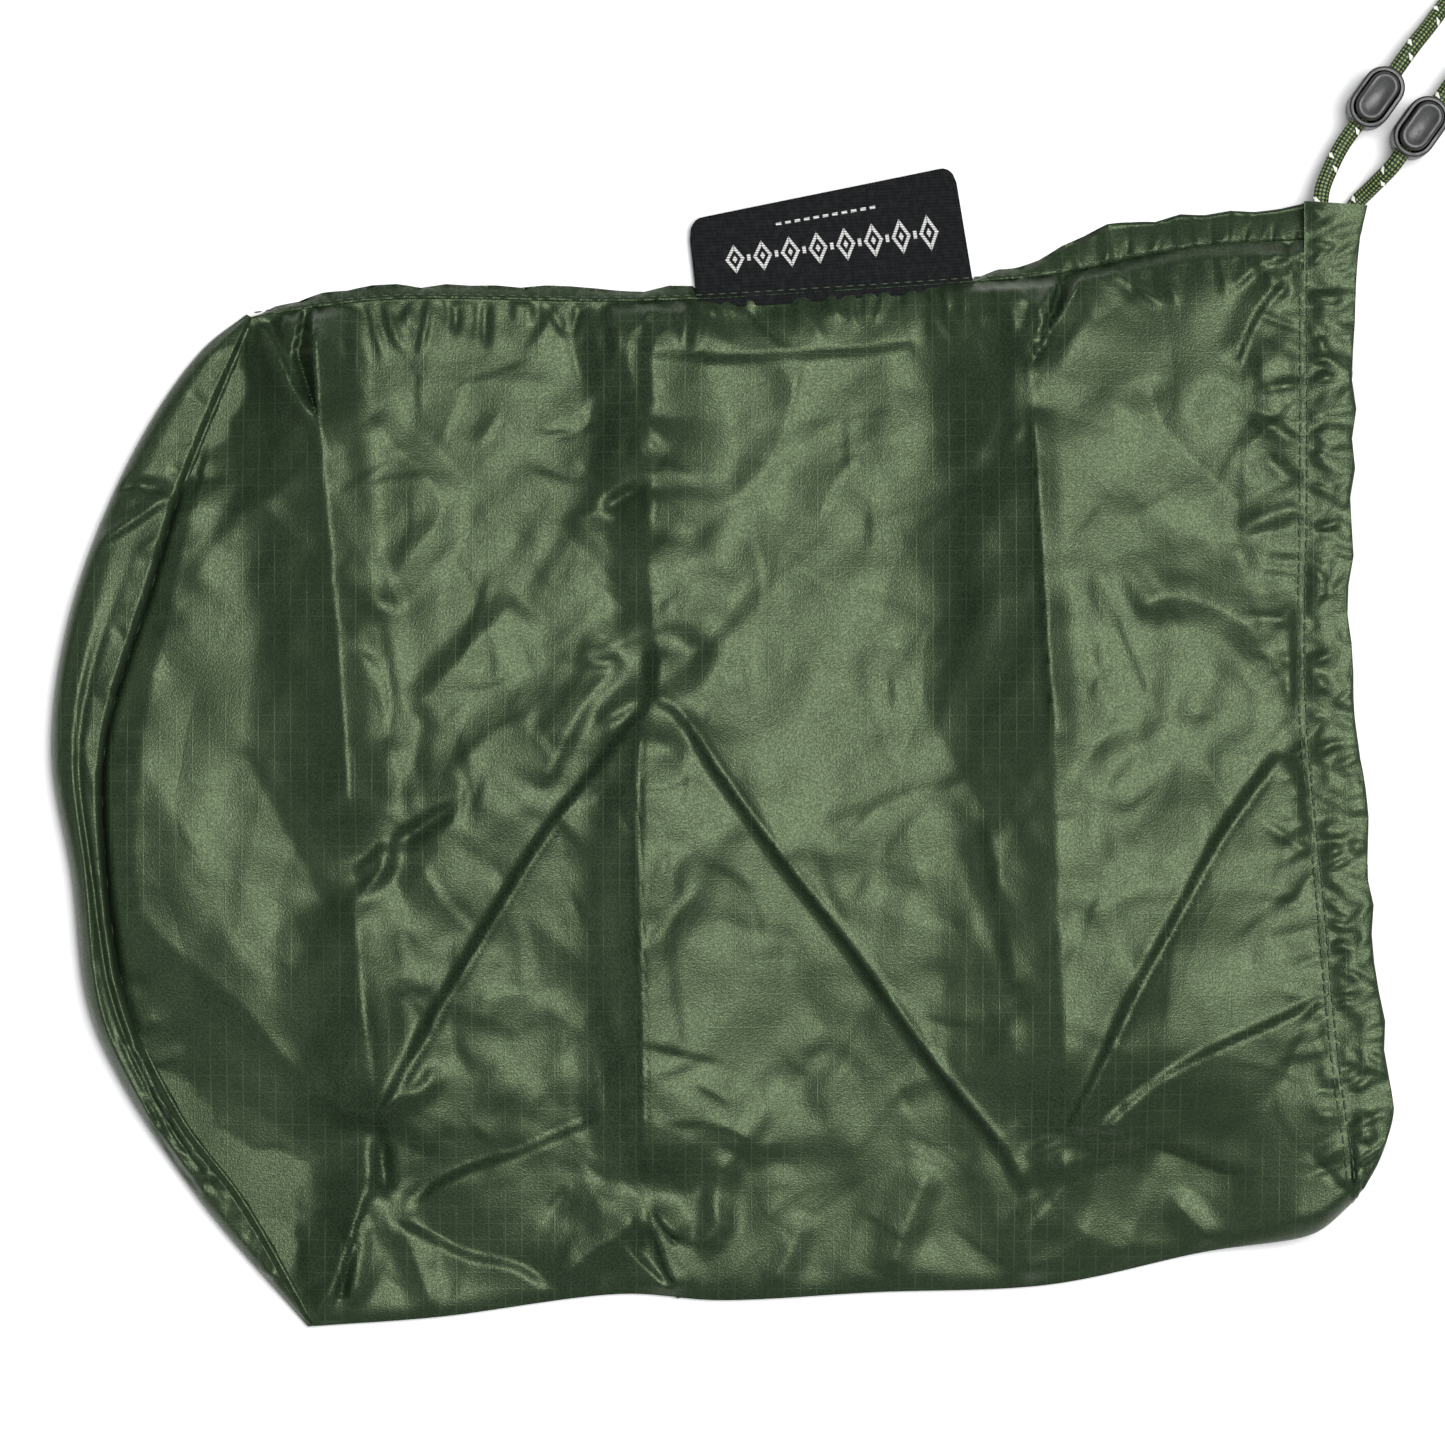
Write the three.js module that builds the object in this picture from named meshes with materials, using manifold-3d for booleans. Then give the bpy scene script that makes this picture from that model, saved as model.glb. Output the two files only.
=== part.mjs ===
// Drawstring laundry bag with a round base, empty and lying flat on its back.
// Millimetres, +Z up. +X points from the base to the mouth, +Y towards the side seam.
import * as THREE from 'three';
import { mergeVertices } from 'three/addons/utils/BufferGeometryUtils.js';
import Module from 'manifold-3d';

// ---------------------------------------------------------------- driving dimensions
const CORD = 3.0;                       // drawcord diameter
const GAP = 0.3;                        // clearance between pieces that touch on the real bag
const WALL = 0.8;                       // panel wall: cloth with the wrinkles in it
const CHANNEL_WALL = 0.4;
const CHANNEL_PLAY = 0.35;              // room round the cord inside its channel
const CHANNEL = CORD + 2 * (CHANNEL_PLAY + CHANNEL_WALL);
const MOUTH_GAP = 5.0;                  // height of the open mouth between its two channel runs
const HEIGHT = 2 * CHANNEL + MOUTH_GAP; // the bag's loft as it lies
const BASE_HEIGHT = HEIGHT - 2;         // loft over the folded base
const EDGE_HEIGHT = 1.6;                // height of the bag's edges over the ground
const SEAM_EDGE_HEIGHT = 4.7;           // the same where the side seam meets the mouth
const THREAD = 0.6;
const SEAM_HALF = 0.6;                  // half width of a sewn joint between two panels
const JOINT = SEAM_HALF + GAP;          // how far a panel keeps from the middle of its seam

// Outline of the flat bag: every curve runs from the fold (low Y) to the seam (high Y),
// or from the base (low X) to the mouth (high X).
const BASE_SEAM = [
  [-76.5, -109.4], [-90.3, -85.3], [-101.6, -70.2], [-112, -47.5], [-116, -19.2],
  [-115.8, 1.5], [-107.3, 29.8], [-101.6, 48.7], [-88.2, 81.5],
];
const BASE_OUTLINE = [
  [-77.5, -109.6], [-97.8, -86], [-114.2, -61], [-119.5, -48], [-122.4, -24],
  [-126.2, -0.5], [-122.6, 26], [-110.5, 56.4], [-98, 75], [-89.2, 82.1],
];
const FOLD_EDGE = [
  [-76.5, -109.4], [-53.3, -107.7], [-18, -103.3], [0, -104.5], [29.5, -103],
  [62.9, -101.5], [92.9, -95.1], [112, -91.5],
];
const SEAM_LINE = [
  [-88.2, 81.5], [-75.9, 83.4], [-60.8, 84.9], [-15.6, 84.5], [20, 86.3],
  [48, 88.2], [62.5, 89.4], [89, 94.5], [110.3, 95.8],
];
const SEAM_EDGE = [
  [-86.5, 83.6], [-75.9, 86], [-60.8, 87.5], [-15.6, 87.1], [20, 88.8],
  [46, 90.6], [56, 91.2], [77, 99.4], [92, 100.4], [108.6, 101.2],
];
const CHANNEL_STITCH = [
  [112, -91.5], [116.2, -66.4], [113.1, -28.7], [109.7, 9.1], [109.4, 45], [110.3, 95.8],
];
const CHANNEL_SEAM_SIDE = [
  [112.5, -90], [116.3, -66.4], [113.1, -28.7], [109.7, 9.1], [109.4, 45], [110.3, 102],
];
const MOUTH_EDGE = [
  [122.5, -90], [126.35, -66], [122.9, -33.4], [119.3, 6], [118.8, 40], [123, 102],
];

// The drawcord's free ends. Both run straight where their toggle slides.
const STRAND_DIRECTION = new THREE.Vector3(0.581, 0.814, 0).normalize();
const LEFT_TOGGLE = new THREE.Vector3(124.0, 122.6, 6.2);
const RIGHT_TOGGLE = new THREE.Vector3(132.3, 117.0, 6.2);
const LEFT_EXIT = [113.45, 102.8, 7.2];
const RIGHT_EXIT = [120.9, 103.4, 2.3];
const KNOT = new THREE.Vector3(154, 159.5, 5);
const LEFT_TAIL = [
  LEFT_EXIT, [113.9, 105.6, 7.0], [115.2, 108.9, 6.6],
  ...strandPoints(LEFT_TOGGLE, -11, 12, 5),
  [134.2, 136.4, 4.7], [137.6, 140.9, 2.8], [141.4, 145.9, 1.7], [145.6, 151.2, 2.0],
  [149.4, 155.7, 3.6],
];
const RIGHT_TAIL = [
  RIGHT_EXIT, [122.7, 105.2, 3.0], [124.9, 107.4, 4.6],
  ...strandPoints(RIGHT_TOGGLE, -9, 12, 5),
  [142.4, 131.2, 4.7], [145.4, 135.7, 2.8], [148.2, 140.5, 1.7], [150.8, 145.5, 1.6],
  [152.6, 150, 2.2], [153.6, 153.6, 3.4],
];
const LEFT_END = [[157.6, 163.7, 4.2], [160.4, 168.3, 2.4], [163.0, 173.6, 1.6]];
const RIGHT_END = [[159.2, 161.2, 4.2], [163.8, 164.8, 2.4], [168.6, 168.0, 1.6]];

// Spring toggle, in its own frame: X along the cord, Z along the button, ground at Z = 0.
const CASING = { length: 12.4, width: 8.0, height: 9.4, wall: 0.9, floor: 1.0 };
const CORD_LEVEL = 6.2;                 // centre of the cord hole
const TRAVEL = 1.6;                     // how far the button goes in
const BUTTON_FLOOR = 3.6;
const BUTTON_TOP = CASING.height + 2.0;
const HOLE = CORD + 2 * GAP;
const WIRE = 0.5;                       // spring wire

const COLOURS = {
  cloth: { color: 0x5a6b4c, roughness: 0.45, metalness: 0 },
  base: { color: 0x4c5c41, roughness: 0.45, metalness: 0 },
  thread: { color: 0x7d8f6a, roughness: 0.7, metalness: 0 },
  label: { color: 0x26272b, roughness: 0.8, metalness: 0 },
  cord: { color: 0x3d4a2c, roughness: 0.7, metalness: 0 },
  plastic: { color: 0x343636, roughness: 0.4, metalness: 0 },
  steel: { color: 0xb8babd, roughness: 0.3, metalness: 1 },
};

// ---------------------------------------------------------------- helpers
const wasm = await Module();
wasm.setup();
const bag = new THREE.Group();

function addMesh(name, geometry, colour, parent = bag) {
  const mesh = new THREE.Mesh(geometry, new THREE.MeshStandardMaterial(COLOURS[colour]));
  mesh.name = name;
  parent.add(mesh);
  return mesh;
}

// Points along one straight strand, measured from the middle of its toggle.
function strandPoints(middle, from, to, count) {
  const points = [];
  for (let i = 0; i < count; i++) {
    const along = from + (to - from) * i / (count - 1);
    points.push(middle.clone().addScaledVector(STRAND_DIRECTION, along).toArray());
  }
  return points;
}

function curveThrough(points) {
  const vectors = points.map(([x, y, z = 0]) => new THREE.Vector3(x, y, z));
  return new THREE.CatmullRomCurve3(vectors, false, 'centripetal');
}

// A closed surface from triangles over shared points, turned so that its faces point out.
function closedGeometry(points, triangles) {
  let volume = 0;
  for (const [a, b, c] of triangles) {
    volume += points[a].dot(points[b].clone().cross(points[c]));
  }
  const faces = volume < 0 ? triangles.map(([a, b, c]) => [a, c, b]) : triangles;
  const geometry = new THREE.BufferGeometry();
  geometry.setAttribute('position', new THREE.Float32BufferAttribute(points.flatMap((p) => p.toArray()), 3));
  geometry.setIndex(faces.flat());
  return geometry;
}

// A wall between an outer and an inner grid of points. Each row may close on itself.
function wallBetween(outer, inner, closedRows) {
  const rows = outer.length;
  const columns = outer[0].length;
  const points = [...outer.flat(), ...inner.flat()];
  const at = (side, i, j) => side * rows * columns + i * columns + (j % columns);
  const triangles = [];
  const quad = (a, b, c, d) => triangles.push([a, b, c], [a, c, d]);
  const spans = closedRows ? columns : columns - 1;
  for (let j = 0; j < spans; j++) {
    for (let i = 0; i < rows - 1; i++) {
      quad(at(0, i, j), at(0, i, j + 1), at(0, i + 1, j + 1), at(0, i + 1, j));
      quad(at(1, i, j), at(1, i + 1, j), at(1, i + 1, j + 1), at(1, i, j + 1));
    }
    quad(at(0, 0, j), at(1, 0, j), at(1, 0, j + 1), at(0, 0, j + 1));
    quad(at(0, rows - 1, j), at(0, rows - 1, j + 1), at(1, rows - 1, j + 1), at(1, rows - 1, j));
  }
  if (!closedRows) {
    for (let i = 0; i < rows - 1; i++) {
      quad(at(0, i, 0), at(0, i + 1, 0), at(1, i + 1, 0), at(1, i, 0));
      quad(at(0, i, spans), at(1, i, spans), at(1, i + 1, spans), at(0, i + 1, spans));
    }
  }
  return closedGeometry(points, triangles);
}

function smooth(value) {
  const x = THREE.MathUtils.clamp(value, 0, 1);
  return x * x * (3 - 2 * x);
}

function solidOf(geometry) {
  geometry.deleteAttribute('normal');
  geometry.deleteAttribute('uv');
  const merged = mergeVertices(geometry, 1e-4);
  return new wasm.Manifold(new wasm.Mesh({
    numProp: 3,
    vertProperties: new Float32Array(merged.attributes.position.array),
    triVerts: new Uint32Array(merged.index.array),
  }));
}

function geometryOf(solid) {
  const mesh = solid.getMesh();
  const geometry = new THREE.BufferGeometry();
  geometry.setAttribute('position', new THREE.BufferAttribute(new Float32Array(mesh.vertProperties), 3));
  geometry.setIndex(new THREE.BufferAttribute(new Uint32Array(mesh.triVerts), 1));
  return geometry;
}

// ---------------------------------------------------------------- the bag's surface
const baseSeam = curveThrough(BASE_SEAM);
const baseOutline = curveThrough(BASE_OUTLINE);
const foldEdge = curveThrough(FOLD_EDGE);
const seamLine = curveThrough(SEAM_LINE);
const channelStitch = curveThrough(CHANNEL_STITCH);

// A patch between four edges: along 0 to 1 from base to mouth, across 0 to 1 from fold to seam.
function panelPlan(along, across) {
  const left = baseSeam.getPointAt(across);
  const right = channelStitch.getPointAt(across);
  left.x += JOINT;
  right.x -= JOINT;
  const sides = left.lerp(right, along);
  const ends = foldEdge.getPointAt(along).lerp(seamLine.getPointAt(along), across);
  const foldCorners = foldEdge.getPointAt(0).lerp(foldEdge.getPointAt(1), along);
  const seamCorners = seamLine.getPointAt(0).lerp(seamLine.getPointAt(1), along);
  return sides.add(ends).sub(foldCorners.lerp(seamCorners, across));
}

function edgeHeight(along, across) {
  const rise = smooth((along - 0.8) / 0.2);
  const atMouth = THREE.MathUtils.lerp(HEIGHT / 2, SEAM_EDGE_HEIGHT, across);
  return THREE.MathUtils.lerp(EDGE_HEIGHT, atMouth, rise);
}

function loft(along) {
  return THREE.MathUtils.lerp(BASE_HEIGHT, HEIGHT, smooth(along / 0.2));
}

const DOME = 2.4;                       // how square the dome over the bag is
const FLAT_PART = 0.88;                 // share of the underside that lies flat

function domeShare(side) {
  return Math.pow(Math.max(0, 1 - Math.pow(Math.abs(side), DOME)), 1 / DOME);
}

function undersideShare(side) {
  const turn = Math.max(0, (Math.abs(side) - FLAT_PART) / (1 - FLAT_PART));
  return 1 - Math.sqrt(Math.max(0, 1 - turn * turn));
}

// One closed section across the bag: over the top from fold to seam, and back underneath.
const HALF_STEPS = 16;
const HALF_WIDTH = 95;
// Steps from fold (-1) to seam (1), closer together at the bag's edges.
function sideAt(step) {
  return -Math.cos(Math.PI * step / HALF_STEPS);
}

function sectionRing(planAt, along, inset, proud = 0) {
  const ring = [];
  for (let k = 0; k < 2 * HALF_STEPS; k++) {
    const side = sideAt(k);
    const across = 0.5 + 0.5 * side * (1 - inset / HALF_WIDTH);
    const edge = edgeHeight(along, across);
    const top = edge + (loft(along) + proud - inset - edge) * domeShare(side);
    const under = inset + (edge - inset) * undersideShare(side);
    const point = planAt(across);
    point.z = k <= HALF_STEPS ? top : under;
    ring.push(point);
  }
  return ring;
}

function tubeWall(planAt, alongs, proud = 0) {
  const rings = (inset) => alongs.map((along, i) => (
    sectionRing((across) => planAt(i, along, across), along, inset, proud)));
  return wallBetween(rings(0), rings(WALL), true);
}

function spread(count, from = 0, to = 1) {
  return Array.from({ length: count }, (_, i) => from + (to - from) * i / (count - 1));
}

// ---------------------------------------------------------------- panels and seams
function bodyPanel() {
  return tubeWall((i, along, across) => panelPlan(along, across), spread(20));
}

// The round base, folded flat: a trough that closes the bag along its curved left end.
function basePanel() {
  const rows = Array.from({ length: HALF_STEPS - 1 }, (_, k) => 0.5 + 0.5 * sideAt(k + 1));
  const turns = spread(11, 0, Math.PI);
  const grid = (inset) => rows.map((t) => {
    const side = 2 * t - 1;
    const start = baseSeam.getPointAt(t);
    start.x -= JOINT;
    const outward = baseOutline.getPointAt(t).sub(start);
    const reach = Math.max(outward.length(), 1.2) - inset;
    outward.normalize();
    const edge = EDGE_HEIGHT;
    const top = edge + (BASE_HEIGHT - inset - edge) * domeShare(side);
    const under = inset + (edge - inset) * undersideShare(side);
    return turns.map((turn) => {
      const point = start.clone().addScaledVector(outward, reach * Math.sin(turn));
      point.z = edge + (turn < Math.PI / 2 ? top - edge : edge - under) * Math.cos(turn);
      return point;
    });
  });
  return wallBetween(grid(0), grid(WALL), false);
}

// A sewn joint between two panels: a narrow band round the whole section.
function seamBand(curve, along, proud) {
  return tubeWall((i, _, across) => {
    const point = curve.getPointAt(across);
    point.x += i === 0 ? -SEAM_HALF : SEAM_HALF;
    return point;
  }, [along, along], proud);
}

// A flat strip between two curves, at the height of the bag's edge.
function edgeStrip(innerCurve, innerOffset, outerCurve, outerOffset, thickness) {
  const stations = spread(26, 0.01, 1);
  const side = (up) => stations.map((u) => {
    const height = edgeHeight(u, 1) + up * thickness / 2;
    const low = innerCurve.getPointAt(u).add(new THREE.Vector3(0, innerOffset, height));
    const high = outerCurve.getPointAt(u).add(new THREE.Vector3(0, outerOffset, height));
    return [low, high];
  });
  return wallBetween(side(1), side(-1), false);
}

// ---------------------------------------------------------------- drawcord channel
const channelInner = curveThrough(CHANNEL_SEAM_SIDE);
const mouthEdge = curveThrough(MOUTH_EDGE);
const LOWER_RUN = CHANNEL / 2;
const UPPER_RUN = HEIGHT - CHANNEL / 2;
const FOLD_START = 0.045;               // where the channel starts to turn round the fold
const FOLD_BUNCH = 0.5;                 // how much thicker the channel is in the fold
const PINCH_START = 0.78;               // where the upper run comes down to the side seam

// One point of the channel's loop: 0 to 1 goes down the upper run, round the fold and
// back along the lower run. Gives its centre, its half width and its section's directions.
function channelStation(share) {
  const foldShare = 0.04;
  const runShare = (1 - foldShare) / 2;
  const turning = THREE.MathUtils.clamp((share - runShare) / foldShare, 0, 1);
  const onUpper = share <= 0.5;
  const run = onUpper ? share / runShare : (1 - share) / runShare;
  const across = THREE.MathUtils.lerp(1, FOLD_START, Math.min(1, run));
  const inner = channelInner.getPointAt(across);
  inner.x += JOINT;
  const outer = mouthEdge.getPointAt(across);
  const width = outer.clone().sub(inner).normalize();
  const pinch = smooth((across - PINCH_START) / (1 - PINCH_START));
  const upper = THREE.MathUtils.lerp(UPPER_RUN, LEFT_EXIT[2], pinch);
  const radius = (UPPER_RUN - LOWER_RUN) / 2;
  const angle = Math.PI * turning;
  const centre = inner.clone().add(outer).multiplyScalar(0.5);
  centre.y -= radius * Math.sin(angle);
  centre.z = onUpper && turning === 0 ? upper : LOWER_RUN + radius * (1 + Math.cos(angle));
  const normal = new THREE.Vector3(0, -Math.sin(angle), Math.cos(angle));
  const bunch = FOLD_BUNCH * Math.sin(angle);
  return { centre, width, normal, bunch, half: outer.distanceTo(inner) / 2 };
}

const RUN_STATIONS = spread(17, 0, 0.48);
const CHANNEL_STATIONS = [
  ...RUN_STATIONS, ...spread(9, 0.4825, 0.5175), ...RUN_STATIONS.map((s) => 1 - s).reverse(),
];

function drawcordChannel() {
  const cornerCut = 0.45;               // how round the flat sleeve's edges are
  const grid = (inset) => CHANNEL_STATIONS.map((share) => {
    const { centre, width, normal, bunch, half } = channelStation(share);
    const w = half - inset;
    const h = CHANNEL / 2 + bunch - inset;
    const cut = h * cornerCut;
    const outline = [
      [w, h - cut], [w - cut, h], [0, h], [cut - w, h], [-w, h - cut],
      [-w, cut - h], [cut - w, -h], [0, -h], [w - cut, -h], [w, cut - h],
    ];
    return outline.map(([a, b]) => centre.clone().addScaledVector(width, a).addScaledVector(normal, b));
  });
  return wallBetween(grid(0), grid(CHANNEL_WALL), true);
}

// Inside its channel the cord keeps to the seam side above and to the mouth side below.
function channelCordRoute() {
  return CHANNEL_STATIONS.map((share) => {
    const { centre, width, half } = channelStation(share);
    const room = half - CHANNEL_WALL - CORD / 2 - CHANNEL_PLAY;
    return centre.clone().addScaledVector(width, room * (2 * share - 1)).toArray();
  });
}

function cordGeometry(route, steps) {
  const section = new THREE.Shape();
  const sides = 8;
  for (let k = 0; k < sides; k++) {
    const angle = 2 * Math.PI * k / sides;
    const x = CORD / 2 * Math.cos(angle);
    const y = CORD / 2 * Math.sin(angle);
    if (k === 0) section.moveTo(x, y); else section.lineTo(x, y);
  }
  section.closePath();
  return new THREE.ExtrudeGeometry(section, { steps, extrudePath: curveThrough(route) });
}

function knotGeometry() {
  const knot = new THREE.SphereGeometry(1, 12, 8);
  knot.scale(5.0, 5.0, 4.8);
  knot.translate(KNOT.x, KNOT.y, KNOT.z);
  knot.deleteAttribute('normal');
  knot.deleteAttribute('uv');
  return mergeVertices(knot, 1e-4);
}

// ---------------------------------------------------------------- label
// A doubled woven tab, sewn into the side seam. Its lower edge follows the seam.
function labelGeometry() {
  const corners = {
    seamLeft: [-4.2, 88.5], seamRight: [48, 91.4], farRight: [44.5, 110.1], farLeft: [-5.8, 99.8],
  };
  const round = 2.6;
  const tab = new THREE.Shape();
  const toward = ([x, y], [toX, toY], distance) => {
    const length = Math.hypot(toX - x, toY - y);
    return [x + (toX - x) * distance / length, y + (toY - y) * distance / length];
  };
  tab.moveTo(...corners.seamLeft);
  tab.lineTo(...corners.seamRight);
  tab.lineTo(...toward(corners.farRight, corners.seamRight, round));
  tab.quadraticCurveTo(...corners.farRight, ...toward(corners.farRight, corners.farLeft, round));
  tab.lineTo(...toward(corners.farLeft, corners.farRight, round));
  tab.quadraticCurveTo(...corners.farLeft, ...toward(corners.farLeft, corners.seamLeft, round));
  tab.closePath();
  const thickness = 1.0;
  const geometry = new THREE.ExtrudeGeometry(tab, { depth: thickness, bevelEnabled: false, curveSegments: 4 });
  geometry.translate(0, 0, EDGE_HEIGHT - thickness / 2);
  return geometry;
}

// ---------------------------------------------------------------- spring toggle
function ovalShape(length, width) {
  const radius = width / 2;
  const straight = (length - width) / 2;
  const oval = new THREE.Shape();
  oval.moveTo(straight, -radius);
  oval.absarc(straight, 0, radius, -Math.PI / 2, Math.PI / 2, false);
  oval.lineTo(-straight, radius);
  oval.absarc(-straight, 0, radius, Math.PI / 2, 3 * Math.PI / 2, false);
  return oval;
}

function ovalPrism(length, width, from, to) {
  const options = { depth: to - from, bevelEnabled: false, curveSegments: 8 };
  const prism = new THREE.ExtrudeGeometry(ovalShape(length, width), options);
  prism.translate(0, 0, from);
  return solidOf(prism);
}

function cordHole(length) {
  const hole = new THREE.CylinderGeometry(HOLE / 2, HOLE / 2, length, 16);
  hole.rotateZ(Math.PI / 2);
  hole.translate(0, 0, CORD_LEVEL);
  return solidOf(hole);
}

function casingGeometry() {
  const { length, width, height, wall, floor } = CASING;
  const well = ovalPrism(length - 2 * wall, width - 2 * wall, floor, height + 1);
  const body = ovalPrism(length, width, 0, height).subtract(well);
  return geometryOf(body.subtract(cordHole(length + 2)));
}

// The button has a slot, not a hole, so the cord stays put while the button goes in.
function buttonGeometry() {
  const { length, width, wall } = CASING;
  const stemLength = length - 2 * (wall + GAP);
  const stemWidth = width - 2 * (wall + GAP);
  const slotFloor = CORD_LEVEL - HOLE / 2;
  const slotTop = CORD_LEVEL + HOLE / 2 + TRAVEL;
  const slot = new THREE.BoxGeometry(length, HOLE, slotTop - slotFloor);
  slot.translate(0, 0, (slotTop + slotFloor) / 2);
  const button = ovalPrism(stemLength, stemWidth, BUTTON_FLOOR, BUTTON_TOP);
  return geometryOf(button.subtract(solidOf(slot)));
}

class ConeHelix extends THREE.Curve {
  getPoint(t) {
    const turns = 3;
    const radius = THREE.MathUtils.lerp(2.4, 1.4, t);
    const angle = 2 * Math.PI * turns * t;
    const low = CASING.floor + WIRE / 2 + 0.1;
    const high = BUTTON_FLOOR - WIRE / 2 - 0.1;
    return new THREE.Vector3(radius * Math.cos(angle), radius * Math.sin(angle), THREE.MathUtils.lerp(low, high, t));
  }
}

function springGeometry() {
  const section = new THREE.Shape();
  section.absarc(0, 0, WIRE / 2, 0, 2 * Math.PI, false);
  return new THREE.ExtrudeGeometry(section, { steps: 36, curveSegments: 3, extrudePath: new ConeHelix() });
}

// The cord passes the toggle's own point (0, 0, CORD_LEVEL), so that point goes on the strand.
function addToggle(side, middle) {
  const toggle = new THREE.Group();
  toggle.rotation.z = Math.atan2(STRAND_DIRECTION.y, STRAND_DIRECTION.x);
  toggle.position.set(middle.x, middle.y, middle.z - CORD_LEVEL);
  addMesh(`toggle_casing_${side}`, casingGeometry(), 'plastic', toggle);
  addMesh(`toggle_button_${side}`, buttonGeometry(), 'plastic', toggle);
  addMesh(`toggle_spring_${side}`, springGeometry(), 'steel', toggle);
  bag.add(toggle);
}

// ---------------------------------------------------------------- assembly
addMesh('body_panel', bodyPanel(), 'cloth');
addMesh('base_panel', basePanel(), 'base');
addMesh('base_seam', seamBand(baseSeam, 0, 0.3), 'cloth');
addMesh('channel_stitching', seamBand(channelStitch, 1, 0), 'thread');
addMesh('side_seam', edgeStrip(seamLine, 2 * GAP + THREAD, curveThrough(SEAM_EDGE), 0, 1.4), 'cloth');
addMesh('side_seam_stitching', edgeStrip(seamLine, GAP, seamLine, GAP + THREAD, THREAD), 'thread');
addMesh('drawcord_channel', drawcordChannel(), 'cloth');
addMesh('woven_label', labelGeometry(), 'label');

addMesh('drawcord_in_channel', cordGeometry(channelCordRoute(), 76), 'cord');
addMesh('drawcord_tail_left', cordGeometry(LEFT_TAIL, 14), 'cord');
addMesh('drawcord_tail_right', cordGeometry(RIGHT_TAIL, 12), 'cord');
addMesh('drawcord_knot', knotGeometry(), 'cord');
addMesh('drawcord_end_left', cordGeometry(LEFT_END, 3), 'cord');
addMesh('drawcord_end_right', cordGeometry(RIGHT_END, 3), 'cord');

addToggle('left', LEFT_TOGGLE);
addToggle('right', RIGHT_TOGGLE);

export default bag;
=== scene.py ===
import math

import bmesh
import bpy
import numpy as np
from mathutils import Matrix, Vector


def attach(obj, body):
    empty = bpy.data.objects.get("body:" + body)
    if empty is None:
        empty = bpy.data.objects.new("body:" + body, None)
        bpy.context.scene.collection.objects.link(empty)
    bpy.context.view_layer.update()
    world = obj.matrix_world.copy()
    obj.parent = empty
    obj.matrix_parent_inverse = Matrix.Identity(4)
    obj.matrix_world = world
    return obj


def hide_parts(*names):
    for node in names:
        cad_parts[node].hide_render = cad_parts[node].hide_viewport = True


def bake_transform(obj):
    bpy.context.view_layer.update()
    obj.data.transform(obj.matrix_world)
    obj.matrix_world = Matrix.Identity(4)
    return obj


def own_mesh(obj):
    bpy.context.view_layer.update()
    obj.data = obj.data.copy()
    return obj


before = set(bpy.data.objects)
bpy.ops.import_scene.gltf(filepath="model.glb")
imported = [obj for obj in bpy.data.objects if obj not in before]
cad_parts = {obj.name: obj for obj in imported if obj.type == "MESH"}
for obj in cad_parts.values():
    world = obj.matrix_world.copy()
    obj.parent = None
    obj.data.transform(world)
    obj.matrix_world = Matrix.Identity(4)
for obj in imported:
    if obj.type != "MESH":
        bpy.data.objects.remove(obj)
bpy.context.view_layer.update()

MM = 0.001
TURN = 2 * math.pi
rng = np.random.default_rng(11)

# ---------------- camera
VIEW_WIDTH = 0.2726
VIEW_CENTRE = (0.00075, 0.0048)
CAMERA_HEIGHT = 1.5
CLOTH_LEVEL = 0.006
SENSOR_WIDTH = 36


def add_camera():
    data = bpy.data.cameras.new("camera")
    data.sensor_width = SENSOR_WIDTH
    data.lens = SENSOR_WIDTH * CAMERA_HEIGHT / VIEW_WIDTH
    camera = bpy.data.objects.new("camera", data)
    camera.location = (*VIEW_CENTRE, CAMERA_HEIGHT + CLOTH_LEVEL)
    bpy.context.scene.collection.objects.link(camera)
    bpy.context.scene.camera = camera


add_camera()


# ---------------- lines and meshes
def smooth(value):
    x = np.clip(value, 0, 1)
    return x * x * (3 - 2 * x)


def lerp(a, b, share):
    return a + (b - a) * share


def raised(plan, level):
    """Plan points with their heights."""
    return np.concatenate([plan, level[..., None]], -1)


class Line:
    """A smooth line through given points, read by its share of length."""

    def __init__(self, points, fine=40):
        p = np.array(points, float)
        p = np.vstack([2 * p[0] - p[1], p, 2 * p[-1] - p[-2]])
        t = np.linspace(0, 1, fine, endpoint=False)[:, None]
        pieces = []
        for a, b, c, d in zip(p[:-3], p[1:-2], p[2:-1], p[3:]):
            before, here, after = (
                math.sqrt(max(np.linalg.norm(q - r), 1e-9)) for q, r in ((a, b), (b, c), (c, d)))
            start = ((b - a) / before - (c - a) / (before + here)) * here + (c - b)
            end = ((d - c) / after - (d - b) / (here + after)) * here + (c - b)
            cubic = 2 * b - 2 * c + start + end
            square = 3 * (c - b) - 2 * start - end
            pieces.append(b + start * t + square * t ** 2 + cubic * t ** 3)
        self.points = np.vstack(pieces + [p[-2][None]])
        steps = np.linalg.norm(np.diff(self.points, axis=0), axis=1)
        self.run = np.concatenate([[0], np.cumsum(steps)])
        self.length = self.run[-1]

    def at(self, share):
        s = np.asarray(share) * self.length
        return np.stack([np.interp(s, self.run, c) for c in self.points.T], -1)

    def even(self, step):
        return self.at(np.linspace(0, 1, max(2, int(round(self.length / step)) + 1)))


def grid_faces(rows, columns, close_rows=False, close_columns=False):
    i = np.arange(rows if close_rows else rows - 1)
    j = np.arange(columns if close_columns else columns - 1)
    a, b = np.meshgrid(i, j, indexing="ij")
    c, d = (a + 1) % rows, (b + 1) % columns
    quads = [a * columns + b, a * columns + d, c * columns + d, c * columns + b]
    return np.stack(quads, -1).reshape(-1, 4)


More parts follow.
